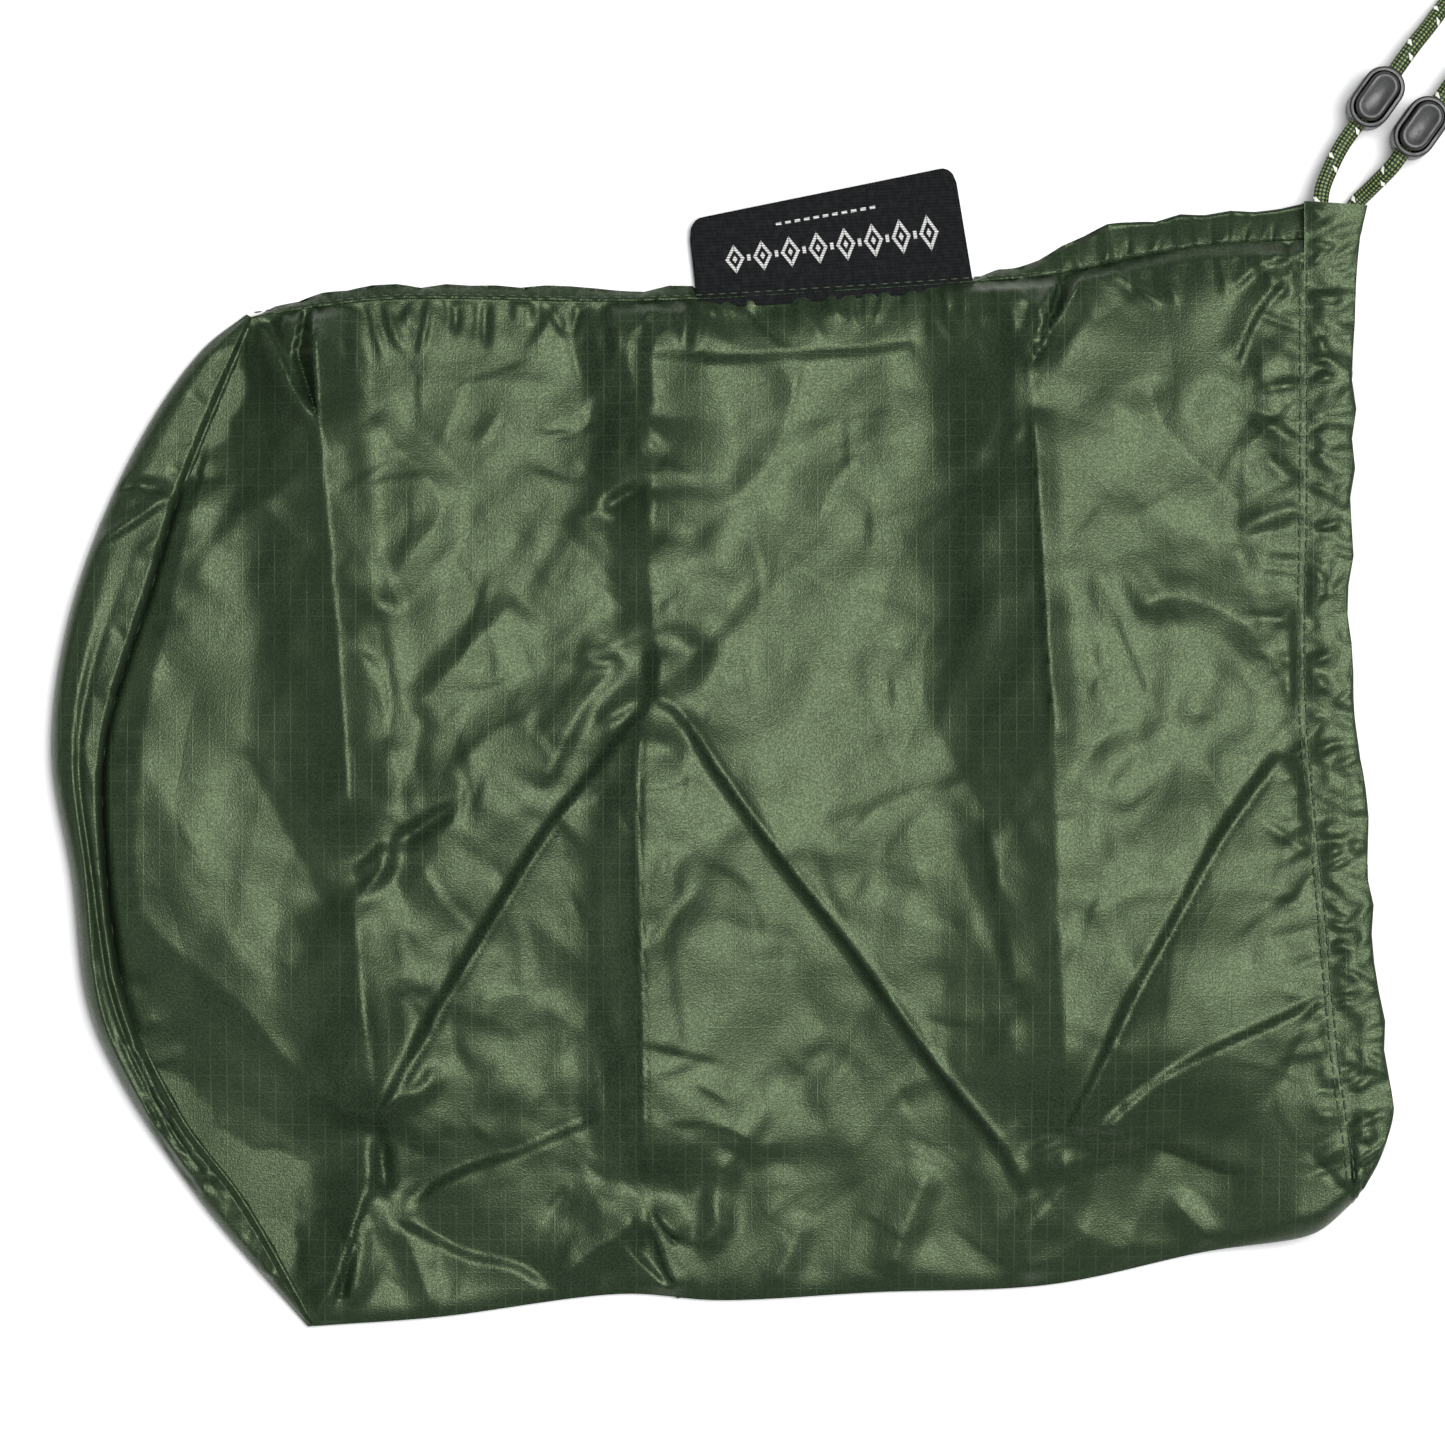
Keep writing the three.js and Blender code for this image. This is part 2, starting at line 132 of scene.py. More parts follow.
def turn_faces_outwards(mesh):
    shell = bmesh.new()
    shell.from_mesh(mesh)
    bmesh.ops.recalc_face_normals(shell, faces=shell.faces)
    shell.to_mesh(mesh)
    shell.free()


def add_mesh(name, points, faces, material, unit=MM, closed=False):
    """A smooth-shaded mesh object from an array of points and a list of faces."""
    mesh = bpy.data.meshes.new(name)
    flat = np.asarray(points, float).reshape(-1, 3) * unit
    mesh.from_pydata(flat.tolist(), [], faces if isinstance(faces, list) else faces.tolist())
    mesh.polygons.foreach_set("use_smooth", [True] * len(mesh.polygons))
    mesh.materials.append(material)
    mesh.update()
    if closed:
        turn_faces_outwards(mesh)
    piece = bpy.data.objects.new(name, mesh)
    bpy.context.scene.collection.objects.link(piece)
    return piece


def add_slab(name, top, bottom, material):
    """A thin closed piece between two grids of points."""
    rows, columns = top.shape[:2]
    half = rows * columns
    faces = grid_faces(rows, columns)
    rim = [r * columns for r in range(rows)]
    rim += [(rows - 1) * columns + c for c in range(1, columns)]
    rim += [r * columns + columns - 1 for r in range(rows - 2, -1, -1)]
    rim += list(range(columns - 2, 0, -1))
    sides = [[a, b, b + half, a + half] for a, b in zip(rim, rim[1:] + rim[:1])]
    points = np.vstack([top.reshape(-1, 3), bottom.reshape(-1, 3)])
    all_faces = faces[:, ::-1].tolist() + (faces + half).tolist() + sides
    return add_mesh(name, points, all_faces, material, closed=True)


def corner_points(piece):
    """The number of the point at each corner of each face."""
    corners = np.zeros(len(piece.data.loops), int)
    piece.data.loops.foreach_get("vertex_index", corners)
    return corners


def sweep_frames(path):
    """Two unit directions across a path at each of its points, without twist."""
    tangents = np.gradient(path, axis=0)
    tangents /= np.linalg.norm(tangents, axis=1)[:, None]
    side = np.cross(tangents[0], [0, 0, 1.0])
    sides = []
    for t in tangents:
        side = side - t * (side @ t)
        side = side / np.linalg.norm(side)
        sides.append(side)
    sides = np.array(sides)
    return sides, np.cross(sides, tangents)


def declare(piece, node=None, body="bag"):
    """Says what a piece rides on, and hides the CAD node it stands for."""
    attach(piece, body)
    if node:
        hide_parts(node)
    return piece


# ---------------- materials
class Nodes:
    """Builds one material's node tree in a few words per node."""

    def __init__(self, name, uv_map=None):
        self.material = bpy.data.materials.new(name)
        self.material.use_nodes = True
        self.tree = self.material.node_tree
        if uv_map:
            self.where = self.add("UVMap", uv_map=uv_map).outputs["UV"]
        else:
            self.where = self.add("TexCoord").outputs["Object"]

    def add(self, kind, **settings):
        node = self.tree.nodes.new("ShaderNode" + kind)
        for key, value in settings.items():
            setattr(node, key, value)
        return node

    def put(self, socket, value):
        if isinstance(value, bpy.types.NodeSocket):
            self.tree.links.new(value, socket)
        else:
            socket.default_value = value

    def feed(self, node, **values):
        for name, value in values.items():
            self.put(node.inputs[name.replace("_", " ")], value)
        return node

    def math(self, operation, a, b=0.0, c=0.0):
        node = self.add("Math", operation=operation)
        for socket, value in zip(node.inputs, (a, b, c)):
            self.put(socket, value)
        return node.outputs[0]

    def split(self):
        """The X and Y of the material's place."""
        axes = self.add("SeparateXYZ")
        self.put(axes.inputs[0], self.where)
        return axes.outputs["X"], axes.outputs["Y"]

    def off_half(self, value):
        """How far a value is from a half."""
        return self.math("ABSOLUTE", self.math("SUBTRACT", value, 0.5))

    def noise(self, scale, detail=3.0, roughness=0.5, where=None):
        node = self.feed(self.add("TexNoise"), Vector=where or self.where)
        return self.feed(node, Scale=scale, Detail=detail, Roughness=roughness).outputs["Fac"]

    def remap(self, value, low, high, to_low=0.0, to_high=1.0):
        node = self.add("MapRange", interpolation_type="SMOOTHSTEP")
        for socket, v in zip(node.inputs, (value, low, high, to_low, to_high)):
            self.put(socket, v)
        return node.outputs[0]

    def mix(self, share, a, b):
        node = self.add("Mix", data_type="RGBA")
        self.put(node.inputs["Factor"], share)
        for socket, colour in ((node.inputs["A"], a), (node.inputs["B"], b)):
            self.put(socket, colour if isinstance(colour, bpy.types.NodeSocket) else (*colour, 1.0))
        return node.outputs["Result"]

    def bump(self, height, distance, strength=1.0, below=None):
        node = self.feed(self.add("Bump"), Height=height, Distance=distance, Strength=strength)
        if below:
            self.feed(node, Normal=below)
        return node.outputs["Normal"]

    def finish(self, colour, roughness, **others):
        shader = self.tree.nodes["Principled BSDF"]
        self.feed(shader, Base_Color=colour, Roughness=roughness, **others)
        return self.material


def grid_lines(m, pitch, share):
    """1 on thin lines that run both ways across the cloth, every pitch metres."""
    lines = []
    for axis in m.split():
        offset = m.off_half(m.math("FRACT", m.math("DIVIDE", axis, pitch)))
        lines.append(m.remap(offset, 0.5 - share, 0.5 - share / 3))
    return lines


def crumple(m, scale, turn, stretch):
    """Sharp little creases: the zero line of a soft noise, stretched one way."""
    place = m.add("Mapping", vector_type="POINT")
    m.put(place.inputs["Vector"], m.where)
    place.inputs["Rotation"].default_value = (0, 0, turn)
    place.inputs["Scale"].default_value = (stretch, 1 / stretch, 1)
    return m.off_half(m.noise(scale, 1.5, 0.45, place.outputs[0]))


RIPSTOP_PITCH = 0.0031
GLOSS_TINT = (0.79, 1.0, 0.58, 1.0)


def ripstop_nylon(name, dark, pale):
    """Silicone-coated ripstop: a dark dye under a soft greenish gloss, with its raised grid."""
    m = Nodes(name)
    along, across = grid_lines(m, RIPSTOP_PITCH, 0.05)
    lines = m.math("MAXIMUM", along, m.math("MULTIPLY", across, 0.55))
    lines = m.math("MULTIPLY", lines, m.remap(m.noise(90.0, 2.0), 0.34, 0.66))
    colour = m.mix(m.remap(m.noise(28.0, 3.0), 0.35, 0.65), dark, pale)
    thread = m.remap(m.noise(2500.0, 1.0), 0.36, 0.64)
    colour = m.mix(m.math("MULTIPLY", thread, 0.7), colour, [2.2 * c for c in pale])
    colour = m.mix(m.math("MULTIPLY", lines, 0.75), colour, [3.4 * c for c in pale])
    large = m.bump(crumple(m, 30.0, 0.5, 1.35), 0.0020)
    grain = m.bump(m.noise(3200.0, 2.0), 0.00009, 1.0, large)
    normal = m.bump(lines, 0.00004, 0.5, grain)
    gloss = m.math("MULTIPLY_ADD", thread, -0.10, 0.46)
    return m.finish(colour, gloss, Normal=normal, Specular_IOR_Level=0.52, Specular_Tint=GLOSS_TINT)


def label_weave():
    m = Nodes("label_weave", "weave")
    rows, columns = grid_lines(m, 0.0005, 0.3)
    weave = m.math("MULTIPLY", m.math("ADD", rows, columns), 0.5)
    lint = m.noise(900.0, 3.0)
    ink = m.mix(m.remap(lint, 0.4, 0.7), (0.0040, 0.0046, 0.0048), (0.010, 0.011, 0.012))
    colour = m.mix(m.math("MULTIPLY", weave, 0.5), ink, (0.017, 0.019, 0.020))
    normal = m.bump(weave, 0.00012, 0.7, m.bump(lint, 0.0001, 0.4))
    return m.finish(colour, 0.85, Normal=normal, Specular_IOR_Level=0.12)


def silver_thread():
    m = Nodes("silver_thread")
    rib = m.math("FRACT", m.math("DIVIDE", m.split()[1], 0.00045))
    rib = m.remap(m.off_half(rib), 0.1, 0.45)
    colour = m.mix(rib, (0.26, 0.26, 0.26), (0.72, 0.71, 0.69))
    return m.finish(colour, 0.42, Normal=m.bump(rib, 0.0001, 0.8))


YARNS = 6
YARN_PITCH = 0.0086
DASHES = 4


def cord_braid():
    """Olive and black yarns over and under each other, and one reflective tracer yarn."""
    m = Nodes("cord_braid", "braid")
    around, along = m.split()
    turns = m.math("DIVIDE", along, YARN_PITCH)
    waves = []
    for sign in (1, -1):
        lean = m.math("MULTIPLY_ADD", turns, sign, around)
        waves.append(m.math("SINE", m.math("MULTIPLY", lean, TURN * YARNS)))
    checks = m.remap(m.math("MULTIPLY", *waves), 0.05, 0.45)
    wear = m.noise(1400.0, 2.0, where=m.add("TexCoord").outputs["Object"])
    olive = m.mix(wear, (0.08, 0.13, 0.028), (0.28, 0.37, 0.12))
    colour = m.mix(checks, (0.004, 0.009, 0.004), olive)
    tracer = m.math("FRACT", m.math("SUBTRACT", m.math("ADD", around, 0.5), turns))
    on_tracer = m.remap(m.off_half(tracer), 0.070, 0.050)
    dash = m.math("FRACT", m.math("MULTIPLY", turns, DASHES))
    fleck = m.math("MULTIPLY", on_tracer, m.remap(m.off_half(dash), 0.22, 0.16))
    colour = m.mix(fleck, colour, (0.86, 0.90, 0.80))
    roughness = m.remap(fleck, 0.0, 1.0, 0.62, 0.3)
    normal = m.bump(wear, 0.00008, 0.5)
    return m.finish(colour, roughness, Normal=normal, Specular_IOR_Level=0.4)


def moulded_plastic():
    m = Nodes("moulded_plastic")
    scuff = m.remap(m.noise(320.0, 4.0), 0.45, 0.7)
    colour = m.mix(scuff, (0.016, 0.0175, 0.0165), (0.024, 0.026, 0.025))
    roughness = m.remap(scuff, 0.0, 1.0, 0.40, 0.52)
    normal = m.bump(m.noise(2400.0, 3.0, 0.6), 0.00006, 0.5)
    return m.finish(colour, roughness, Normal=normal)


def speckled(name, scale, detail, dark, pale, roughness, depth, strength):
    """A material whose colour and relief follow one noise."""
    m = Nodes(name)
    speckle = m.noise(scale, detail)
    normal = m.bump(speckle, depth, strength)
    return m.finish(m.mix(speckle, dark, pale), roughness, Normal=normal)


def spring_steel():
    m = Nodes("spring_steel")
    drawn = m.noise(1800.0, 2.0)
    colour = m.mix(drawn, (0.42, 0.42, 0.43), (0.66, 0.66, 0.67))
    roughness = m.remap(drawn, 0.3, 0.7, 0.22, 0.34)
    return m.finish(colour, roughness, Normal=m.bump(drawn, 0.00002, 0.3), Metallic=1.0)


NYLON = ripstop_nylon("ripstop_nylon", (0.0066, 0.0130, 0.0072), (0.0110, 0.0190, 0.0098))
BASE_NYLON = ripstop_nylon("base_nylon", (0.0066, 0.0126, 0.0072), (0.0110, 0.0186, 0.0098))
THREAD = speckled(
    "sewing_thread", 3000.0, 2.0, (0.016, 0.028, 0.014), (0.055, 0.085, 0.045), 0.6, 0.00005, 0.6)
TIP = speckled(
    "melted_tip", 900.0, 3.0, (0.006, 0.008, 0.005), (0.05, 0.055, 0.03), 0.35, 0.0002, 0.6)
LABEL = label_weave()
SILVER = silver_thread()
BRAID = cord_braid()
PLASTIC = moulded_plastic()
STEEL = spring_steel()

# ---------------- drawcord and its toggles
CORD = 0.003
BRAID_STEP = 0.00022
STRAND = Vector((0.581, 0.814, 0)).normalized()
LEFT_TOGGLE = Vector((0.1240, 0.1226, 0.0062))
RIGHT_TOGGLE = Vector((0.1323, 0.1170, 0.0062))


def strand_points(middle, start, stop, count):
    return [tuple(middle + STRAND * s) for s in np.linspace(start, stop, count)]


LEFT_TAIL = [
    (0.1133, 0.1000, 0.0072), (0.11345, 0.1028, 0.0072), (0.1139, 0.1056, 0.0070),
    (0.1152, 0.1089, 0.0066), *strand_points(LEFT_TOGGLE, -0.011, 0.012, 5),
    (0.1342, 0.1364, 0.0047), (0.1376, 0.1409, 0.0028), (0.1414, 0.1459, 0.0017),
    (0.1456, 0.1512, 0.0020), (0.1494, 0.1557, 0.0036), (0.1515, 0.1578, 0.0046),
]
RIGHT_TAIL = [
    (0.1190, 0.1006, 0.0023), (0.1209, 0.1034, 0.0023), (0.1227, 0.1052, 0.0030),
    (0.1249, 0.1074, 0.0046), *strand_points(RIGHT_TOGGLE, -0.009, 0.012, 5),
    (0.1424, 0.1312, 0.0047), (0.1454, 0.1357, 0.0028), (0.1482, 0.1405, 0.0017),
    (0.1508, 0.1455, 0.0016), (0.1526, 0.1500, 0.0022), (0.1536, 0.1536, 0.0034),
    (0.1539, 0.1568, 0.0046),
]
LEFT_END = [
    (0.1562, 0.1619, 0.0047), (0.1576, 0.1637, 0.0042), (0.1604, 0.1683, 0.0024),
    (0.1630, 0.1736, 0.0016),
]
RIGHT_END = [
    (0.1572, 0.1604, 0.0047), (0.1592, 0.1612, 0.0042), (0.1638, 0.1648, 0.0024),
    (0.1686, 0.1680, 0.0016),
]
KNOT = np.array([0.154, 0.1595, 0.005])
KNOT_SIZE = np.array([0.00118, 0.00118, 0.0021])
KNOT_CORDS_APART = 0.00035


def braided_tube(name, route, node=None, radius=CORD / 2, around=48, step=BRAID_STEP):
    """A cord along a route, with the yarns' relief in its surface and its ends closed."""
    path = Line(route).even(step)
    sides, ups = sweep_frames(path)
    run = np.arange(len(path)) * step
    s, t = np.meshgrid(run, np.linspace(0, 1, around, endpoint=False), indexing="ij")
    lean = s / YARN_PITCH
    relief = np.sin(TURN * YARNS * (t + lean)) * np.sin(TURN * YARNS * (t - lean))
    size = radius * (0.975 + 0.03 * np.abs(relief))
    rings = path[:, None] + (size * np.cos(TURN * t))[..., None] * sides[:, None]
    rings = rings + (size * np.sin(TURN * t))[..., None] * ups[:, None]
    count = len(path) * around
    last = count - around
    points = np.vstack([rings.reshape(-1, 3), path[:1], path[-1:]])
    quads = grid_faces(len(path), around, close_columns=True)
    caps = [[(k + 1) % around, k, count] for k in range(around)]
    caps += [[last + k, last + (k + 1) % around, count + 1] for k in range(around)]
    piece = add_mesh(name, points, quads.tolist() + caps, BRAID, unit=1)
    corners = corner_points(piece)
    u = np.append(t.ravel(), [0.5, 0.5])[corners]
    v = np.append(s.ravel(), [run[0], run[-1]])[corners]
    seam = np.zeros(len(corners), bool)
    seam[: 4 * len(quads)] = np.repeat((quads % around)[:, 1] == 0, 4)
    u = np.where(seam & (u < 0.25), u + 1, u)
    layer = piece.data.uv_layers.new(name="braid")
    layer.data.foreach_set("uv", np.stack([u, v], -1).ravel())
    return declare(piece, node)


def rounded_oval(length, width, corner_points=14):
    """Points of an oval with straight sides, in millimetres, anticlockwise."""
    radius = width / 2
    straight = (length - width) / 2
    points = []
    for end in (1, -1):
        for a in np.linspace(-math.pi / 2, math.pi / 2, corner_points):
            points.append((end * (straight + radius * math.cos(a)), end * radius * math.sin(a)))
    return np.array(points)


def rounded_edge(z, length, width, radius, upward, steps=4):
    """Levels that take a moulding round its edge, from its wall to its flat face."""
    levels = []
    for a in np.linspace(0, math.pi / 2, steps):
        inset = 2 * radius * (1 - math.cos(a))
        rise = radius * math.sin(a)
        levels.append((z + upward * (rise - radius), length - inset, width - inset))
    return levels


def capped_mesh(name, rings, material):
    rows, columns = rings.shape[:2]
    faces = grid_faces(rows, columns, close_columns=True).tolist()
    faces.append(list(range(columns))[::-1])
    faces.append([(rows - 1) * columns + c for c in range(columns)])
    return add_mesh(name, rings, faces, material, closed=True)


def oval_moulding(name, levels):
    """A closed moulding. Each level is its height, length and width in millimetres."""
    ovals = [(z, rounded_oval(length, width)) for z, length, width in levels]
    rings = [np.column_stack([oval, np.full(len(oval), z)]) for z, oval in ovals]
    return capped_mesh(name, np.array(rings), PLASTIC)


CASING_LENGTH, CASING_WIDTH, CASING_HEIGHT = 12.4, 8.0, 9.4
CASING_WALL, CASING_FLOOR = 0.9, 1.0
CORD_LEVEL = 6.2
BUTTON_FLOOR = 3.6
BUTTON_TOP = CASING_HEIGHT + 2.0
HOLE = 3.6
TRAVEL = 1.6
PLAY = 0.3
SHARP_ANGLE = math.radians(38)


def cut_cord_hole(piece, taller=0.0):
    """Cuts a round-ended slot along the cord through a part of a toggle."""
    radius = HOLE / 2
    outline = []
    for middle, start in ((CORD_LEVEL + taller, 0), (CORD_LEVEL, math.pi)):
        for a in np.linspace(start, start + math.pi, 13):
            outline.append((radius * math.cos(a), middle + radius * math.sin(a)))
    rings = [np.column_stack([np.full(len(outline), x), outline]) for x in (-8.0, 8.0)]
    hole = capped_mesh("hole", np.array(rings), PLASTIC)
    modifier = piece.modifiers.new("cut", "BOOLEAN")
    modifier.operation = "DIFFERENCE"
    modifier.solver = "EXACT"
    modifier.object = hole
    graph = bpy.context.evaluated_depsgraph_get()
    mesh = bpy.data.meshes.new_from_object(piece.evaluated_get(graph))
    piece.modifiers.clear()
    piece.data = mesh
    bpy.data.objects.remove(hole)
    return piece


def casing_mesh(name):
    length, width, top = CASING_LENGTH, CASING_WIDTH, CASING_HEIGHT
    inner = 2 * CASING_WALL
    levels = rounded_edge(0, length, width, 1.1, -1)[::-1]
    levels += rounded_edge(top, length, width, 0.35, 1)
    rim = [(top, inner - 0.3), (top - 0.2, inner)]
    floor = [(CASING_FLOOR + 0.3, inner), (CASING_FLOOR, inner + 0.6)]
    for z, inset in rim + floor:
        levels.append((z, length - inset, width - inset))
    return cut_cord_hole(oval_moulding(name, levels))


def button_mesh(name):
    length = CASING_LENGTH - 2 * (CASING_WALL + PLAY)
    width = CASING_WIDTH - 2 * (CASING_WALL + PLAY)
    levels = rounded_edge(BUTTON_FLOOR, length, width, 0.3, -1)[::-1]
    levels += rounded_edge(BUTTON_TOP, length, width, 0.55, 1, 5)
    for z, inset in ((BUTTON_TOP, 1.9), (BUTTON_TOP - 0.22, 2.6)):
        levels.append((z, length - inset, width - inset))
    return cut_cord_hole(oval_moulding(name, levels), TRAVEL)


SPRING_WIRE = 0.5
SPRING_TURNS = 3


def spring_mesh(name):
    """A conical coil between the casing's floor and the button, wide end down."""
    share = np.linspace(0, 1, 120)
    angle = TURN * SPRING_TURNS * share
    radius = lerp(2.4, 1.2, share)
    height = lerp(CASING_FLOOR + 0.3, BUTTON_FLOOR - 0.35, share)
    path = np.column_stack([radius * np.cos(angle), radius * np.sin(angle), height])
    sides, ups = sweep_frames(path)
    rings = [path + SPRING_WIRE / 2 * (sides * math.cos(a) + ups * math.sin(a))
             for a in np.linspace(0, TURN, 12, endpoint=False)]
    return capped_mesh(name, np.array(rings).transpose(1, 0, 2), STEEL)


def add_toggle(side, middle):
    """One spring cord lock. Its own X runs along the cord and its button faces up."""
    turn = Matrix.Rotation(math.atan2(STRAND.y, STRAND.x), 4, "Z")
    place = Matrix.Translation(middle - Vector((0, 0, CORD_LEVEL * MM))) @ turn
    pieces = []
    for kind, make, body in (("casing", casing_mesh, "toggle"), ("button", button_mesh, "button")):
        piece = make(f"{kind}_{side}")
        piece.data.transform(place)
        piece.data.polygons.foreach_set("use_smooth", [True] * len(piece.data.polygons))
        piece.data.set_sharp_from_angle(angle=SHARP_ANGLE)
        pieces.append(declare(piece, f"toggle_{kind}_{side}", f"{body}_{side}"))
    spring = spring_mesh(f"spring_{side}")
    spring.data.transform(place)
    declare(spring, f"toggle_spring_{side}", f"toggle_{side}")
    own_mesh(spring)
    return pieces + [spring]


def knot_route():
    """An overhand knot's closed run, pulled tight, about its middle."""
    a = np.linspace(0, TURN, 60, endpoint=False)
    x = np.sin(a) + 2 * np.sin(2 * a)
    y = np.cos(a) - 2 * np.cos(2 * a)
    z = -np.sin(3 * a)
    return np.column_stack([x, y, z]) * KNOT_SIZE


def add_knot():
    """The overhand knot that ties both ends together, drawn as two cords side by side."""
    parts = []
    for name, offset, node in (("knot_turn_a", -1, "drawcord_knot"), ("knot_turn_b", 1, None)):
        loop = knot_route() * (1 + 0.06 * offset) + KNOT + (0, 0, KNOT_CORDS_APART * offset)
        route = np.vstack([loop, loop[:1]])
        parts.append(braided_tube(name, route, node, CORD * 0.44, 32, 0.0003))
    return parts


# Heights and radii of the melted blob on a cord's end.
TIP_PROFILE = [(-0.9, 1.5), (-0.1, 1.6), (0.5, 1.5), (0.9, 1.1), (1.05, 0.5)]


def sealed_tip(name, route):
    before, end = Line(route).at(np.array([0.9, 1.0]))
    angle = np.linspace(0, TURN, 20, endpoint=False)
    rings = []
    for z, size in TIP_PROFILE:
        rings.append(np.column_stack([size * np.cos(angle), size * np.sin(angle), np.full(20, z)]))
    piece = capped_mesh(name, np.array(rings), TIP)
    turn = Vector(end - before).normalized().to_track_quat("Z", "Y").to_matrix().to_4x4()
    piece.data.transform(Matrix.Translation(Vector(end)) @ turn)
    return declare(piece)


def add_drawcord():
    on_left_tail = add_knot()
    for side, route in (("left", LEFT_END), ("right", RIGHT_END)):
        on_left_tail.append(braided_tube(f"cord_end_{side}", route, f"drawcord_end_{side}"))
        on_left_tail.append(sealed_tip(f"sealed_tip_{side}", route))
    on_left_tail += add_toggle("left", LEFT_TOGGLE)
    on_right_tail = add_toggle("right", RIGHT_TOGGLE)
    for side, route, pieces in (("left", LEFT_TAIL, on_left_tail), ("right", RIGHT_TAIL, on_right_tail)):
        tail = braided_tube(f"cord_tail_{side}", route, f"drawcord_tail_{side}")


add_drawcord()

# ---------------- outline of the flat bag
BASE_SEAM = Line([
    (-76.5, -109.4), (-90.3, -85.3), (-101.6, -70.2), (-112, -47.5), (-116, -19.2),
    (-115.8, 1.5), (-107.3, 29.8), (-101.6, 48.7), (-88.2, 81.5),
])
BASE_OUTLINE = Line([
    (-77.5, -109.6), (-97.8, -86), (-114.2, -61), (-119.5, -48), (-122.4, -24),
    (-126.2, -0.5), (-122.6, 26), (-110.5, 56.4), (-98, 75), (-89.2, 82.1),
])
FOLD_EDGE = Line([
    (-76.5, -109.4), (-53.3, -107.7), (-18, -103.3), (0, -104.5), (29.5, -103),
    (62.9, -101.5), (92.9, -95.1), (110.5, -92.2), (114, -90.6), (119, -86.2),
])
SEAM_LINE = Line([
    (-88.2, 81.5), (-75.9, 83.4), (-60.8, 84.9), (-15.6, 84.5), (20, 86.3),
    (48, 88.2), (62.5, 89.4), (89, 94.5), (110.3, 95.8),
])
SEAM_EDGE = Line([
    (-88.4, 82.0), (-75.9, 86), (-60.8, 87.5), (-15.6, 87.1), (20, 88.8),
    (46, 90.6), (56, 91.2), (77, 99.4), (92, 100.6), (112, 102.6),
])
CHANNEL_STITCH = Line([
    (119, -86.2), (118.6, -78), (117.2, -68.5), (115.6, -56), (113.1, -28.7), (109.7, 9.1),
    (109.9, 45), (110.3, 95.8),
])
MOUTH_EDGE = Line([
    (120.2, -84.6), (124.0, -78), (126.1, -70.5), (126.2, -65), (123, -33.5), (121.2, -5),
    (119.3, 6), (118.6, 21), (118.9, 42.5), (119.2, 66), (119.9, 86), (121.2, 96), (122.3, 102.2),
])

BASE_LOFT = 7.0
MOUTH_LOFT = 13.5
EDGE_HEIGHT = 1.6
SEAM_EDGE_HEIGHT = 4.7
MOUTH_MIDDLE = 7.0
CHANNEL_RADIUS = 4.75
UPPER_RUN_AT_SEAM = 7.2
PINCH_START = 0.78
HEM_RAISE = 1.3
DOME = 2.4
EDGE_TURN = 4.0
EDGE_RISE = 0.9
GROUND = 0.2
BODY_LENGTH = 222.0
BODY_WIDTH = 188.0


def panel_plan(u, v):
    """Plan points for arrays of shares: u from base to mouth, v from fold to side seam."""
    left, right = BASE_SEAM.at(v), CHANNEL_STITCH.at(v)
    fold, seam = FOLD_EDGE.at(u), SEAM_LINE.at(u)
    fold_ends, seam_ends = FOLD_EDGE.at(np.array([0, 1])), SEAM_LINE.at(np.array([0, 1]))
    u, v = u[..., None], v[..., None]
    corners = lerp(lerp(fold_ends[0], fold_ends[1], u), lerp(seam_ends[0], seam_ends[1], u), v)
    return lerp(left, right, u) + lerp(fold, seam, v) - corners


def edge_height(u, v):
    at_mouth = lerp(MOUTH_MIDDLE, SEAM_EDGE_HEIGHT, v)
    return lerp(EDGE_HEIGHT, at_mouth, smooth((u - 0.8) / 0.2))


def dome_share(side):
    return np.clip(1 - np.abs(side) ** DOME, 0, 1) ** (1 / DOME)


def channel_level(v, upper):
    """Height of the channel's stitch line over the ground, on its upper or its lower run."""
    corner = np.clip(v * BODY_WIDTH / CHANNEL_RADIUS, 0, 1)
    round_the_fold = CHANNEL_RADIUS * np.sqrt(1 - (1 - corner) ** 2)
    if not upper:
        end = smooth((v - 0.985) / 0.015)
        return lerp(MOUTH_MIDDLE - round_the_fold, SEAM_EDGE_HEIGHT - 0.6, end)
    pinch = smooth((v - PINCH_START) / (1 - PINCH_START))
    level = MOUTH_MIDDLE + round_the_fold
    level = lerp(level, UPPER_RUN_AT_SEAM, pinch)
    return lerp(level, SEAM_EDGE_HEIGHT, smooth((v - 0.985) / 0.015))


# ---------------- folds and creases
STEEPNESS = 1.4
FADE = 5.0
SNAP = 0.32
